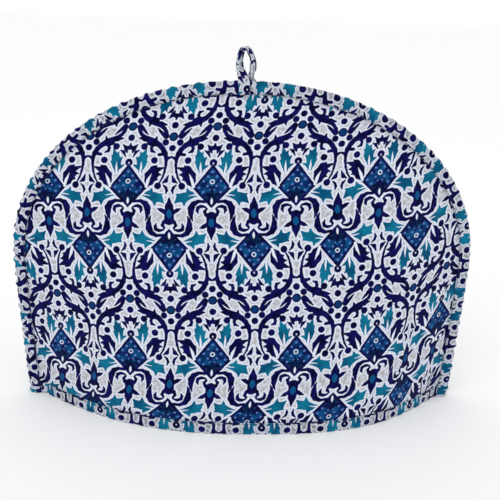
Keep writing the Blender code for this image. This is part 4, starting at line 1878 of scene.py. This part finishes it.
@dataclass
class Studio:
    """A pale floor, soft light from all round and above, and the camera of the photograph.

    The camera looks at a point over the foot's middle from the photograph's height, side and roll,
    and it is shifted so that this point falls where the photograph has it.
    """

    elevation: float = 17.93
    side_turn: float = 1.92
    roll: float = 1.53
    distance: float = 0.5528
    target_height: float = 0.118
    focal_pixels: float = 759.1
    picture_pixels: float = 500.0
    target_pixel: Point = (244.1, 246.5)
    sensor: float = 36.0
    floor_half: float = 12.0
    floor_colour: Colour = (0.98, 0.98, 0.98)
    floor_roughness: float = 0.9
    cloud_size: float = 0.6
    cloud_shade: float = 0.99
    sky_colour: Colour = (1.0, 1.0, 1.0)
    sky_strength: float = 1.0
    lamp_place: tuple[float, float, float] = (-0.9, -1.4, 1.7)
    lamp_size: float = 1.2
    lamp_power: float = 5.0
    nearest: float = 0.01
    furthest: float = 100.0

    def floor(self) -> bpy.types.Object:
        """The floor, just under the hem.

        Returns:
            The floor.
        """
        graph = Graph("pale_floor")
        place = graph.read(graph.node("ShaderNodeTexCoord", {}, {}), "Object")
        cloudy = graph.noise(place, self.cloud_size)
        darker = tuple(self.cloud_shade * part for part in self.floor_colour)
        colour = graph.mix(cloudy, self.floor_colour, darker)
        material = graph.finish({"Base Color": colour, "Roughness": self.floor_roughness})
        half = self.floor_half
        corners = np.array([(-half, -half, 0.0), (half, -half, 0.0), (half, half, 0.0), (-half, half, 0.0)])
        floor = Surface(corners, np.array([[0, 1, 2, 3]]), np.zeros((4, 2))).piece("floor", [material])
        floor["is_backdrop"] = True
        return floor

    def sky(self) -> None:
        """Even pale light from all round."""
        world = bpy.data.worlds.new("soft_light")
        world.use_nodes = True
        background = world.node_tree.nodes["Background"]
        background.inputs["Color"].default_value = opaque(self.sky_colour)
        background.inputs["Strength"].default_value = self.sky_strength
        bpy.context.scene.world = world

    def lamp(self, name: str) -> None:
        """A wide soft lamp aimed at the cosy.

        Args:
            name: the lamp's name.
        """
        light = bpy.data.lights.new(name, "AREA")
        light.shape = "SQUARE"
        light.size = self.lamp_size
        light.energy = self.lamp_power
        lamp = bpy.data.objects.new(name, light)
        lamp.location = self.lamp_place
        aim = Vector((0.0, 0.0, self.target_height)) - Vector(self.lamp_place)
        lamp.rotation_euler = aim.to_track_quat("-Z", "Y").to_euler()
        bpy.context.scene.collection.objects.link(lamp)

    def camera(self) -> bpy.types.Object:
        """The camera, placed and turned by its angles round the target.

        Returns:
            The camera.
        """
        rise, turn = math.radians(self.elevation), math.radians(self.side_turn)
        level = self.distance * math.cos(rise)
        place = Vector(
            (
                -level * math.sin(turn),
                -level * math.cos(turn),
                self.target_height + self.distance * math.sin(rise),
            )
        )
        data = bpy.data.cameras.new("camera")
        data.sensor_width = self.sensor
        data.lens = self.focal_pixels / self.picture_pixels * self.sensor
        middle = 0.5 * self.picture_pixels
        data.shift_x = (middle - self.target_pixel[0]) / self.picture_pixels
        data.shift_y = (self.target_pixel[1] - middle) / self.picture_pixels
        data.clip_start, data.clip_end = self.nearest, self.furthest
        camera = bpy.data.objects.new("camera", data)
        look = (Vector((0.0, 0.0, self.target_height)) - place).to_track_quat("-Z", "Y").to_matrix()
        roll = Matrix.Rotation(math.radians(self.roll), 3, "Z")
        camera.matrix_world = Matrix.Translation(place) @ (look @ roll).to_4x4()
        bpy.context.scene.collection.objects.link(camera)
        bpy.context.scene.camera = camera
        return camera

    def build(self) -> None:
        """Floor, light and camera."""
        self.floor()
        self.sky()
        self.lamp("high_lamp")
        self.camera()
        bpy.context.scene.view_settings.view_transform = "Standard"


@dataclass
class TeaCosy:
    """All of the cosy's pieces, with their finishes."""

    shape: CosyShape

    def panels(self, printed: bpy.types.Material, plain: bpy.types.Material) -> None:
        """The two wadded panels.

        Args:
            printed: the outside's finish.
            plain: the inside's finish.
        """
        front = ClothLie(across=8.6, up=45.8, turn=2.2, pull_up=11.5, pull_across=5.4, pull_lift=8.8)
        back = ClothLie(across=-14.0, up=30.0, turn=-1.0, pull_up=3.0, pull_across=2.0, pull_lift=-2.0)
        lies = {Side.FRONT: front, Side.BACK: back}
        for side, name in ((Side.FRONT, "front_panel"), (Side.BACK, "back_panel")):
            panel = ClothPanel(f"{name}_cloth", side, self.shape, lies[side])
            made = panel.build(printed, plain)
            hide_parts(name)
            self.report(made)

    def hems(self, printed: bpy.types.Material) -> None:
        """The two hem strips.

        Args:
            printed: the strips' finish.
        """
        for side, name in ((Side.FRONT, "front_hem_binding"), (Side.BACK, "back_hem_binding")):
            hem = HemBinding(f"{name}_cloth", side, self.shape)
            made = hem.build(printed)
            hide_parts(name)
            self.report(made)

    def arch(self, printed: bpy.types.Material) -> None:
        """The strip over the joined edges.

        Args:
            printed: the strip's finish.
        """
        strip = ArchBinding("arch_binding_cloth", self.shape)
        made = strip.build(printed)
        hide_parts("arch_binding")
        self.report(made)

    def loop(self, printed: bpy.types.Material) -> None:
        """The hanging loop.

        Args:
            printed: the loop's finish.
        """
        strip = HangingLoop("top_loop_cloth")
        made = strip.build(printed)
        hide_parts("top_loop")
        self.report(made)

    def stitches(self, thread: bpy.types.Material) -> None:
        """Rows of stitches along the arch binding's two faces and the hem strips' outer faces.

        Args:
            thread: the thread's finish.
        """
        rows = StitchRows("strip_stitches")
        line = evenly_spaced(self.shape.outline(rows.arch_inset), rows.samples)
        flat_edge = self.shape.seam_gap(line[:, 1]) + self.shape.flat_thickness
        made = []
        for side in Side:
            out = np.zeros((len(line), 3))
            out[:, 1] = -side.value
            y = -side.value * (flat_edge + rows.proud)
            made.append(rows.row(np.column_stack([line[:, 0], y, line[:, 1]]), out))
            x = np.linspace(-rows.hem_half_length, rows.hem_half_length, rows.samples)
            z = np.full_like(x, rows.hem_height)
            face = self.shape.sheet_out(x, z, side)
            slope = np.gradient(face, x)
            length = np.hypot(1.0, slope)
            hem_x = x - rows.proud * slope / length
            hem = np.column_stack([hem_x, -side.value * (face + rows.proud / length), z])
            out = np.column_stack([-slope / length, -side.value / length, np.zeros_like(x)])
            made.append(rows.row(hem, out))
        piece = joined(made).piece(rows.name, [thread])
        self.report(piece)

    @staticmethod
    def report(piece: bpy.types.Object) -> None:
        """Let the piece go with the frame's body, and name it in the log."""
        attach(piece, "root")
        log.info("%s: %d faces", piece.name, len(piece.data.polygons))

    def build(self) -> None:
        """All pieces, in sewing order."""
        printed = PrintFinish("panel_print").material()
        # The strips' print has a darker, greyer ground than the panels': painted shade for the shadows in
        # their wrinkles.
        strip = PrintFinish("strip_print_with_painted_shade", white=STRIP_SHADED_WHITE, grey=STRIP_SHADED_GREY, halo=STRIP_HALO).material()
        plain = CottonFinish("inside_cotton").material()
        thread = ThreadFinish("sewing_thread").material()
        self.arch(strip)
        self.panels(printed, plain)
        self.hems(strip)
        self.loop(strip)
        self.stitches(thread)


def corners() -> dict[str, list[float]]:
    """The shown object's lowest and highest corner."""
    low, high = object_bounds()
    return {"low": [float(part) for part in low], "high": [float(part) for part in high]}


def main() -> None:
    """Load the frame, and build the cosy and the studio."""
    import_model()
    _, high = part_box("arch_binding")
    TeaCosy(CosyShape(height=high.z, widest_half_width=high.x)).build()
    Studio().build()


if __name__ == "__main__":
    logging.basicConfig(level=logging.INFO)
    main()
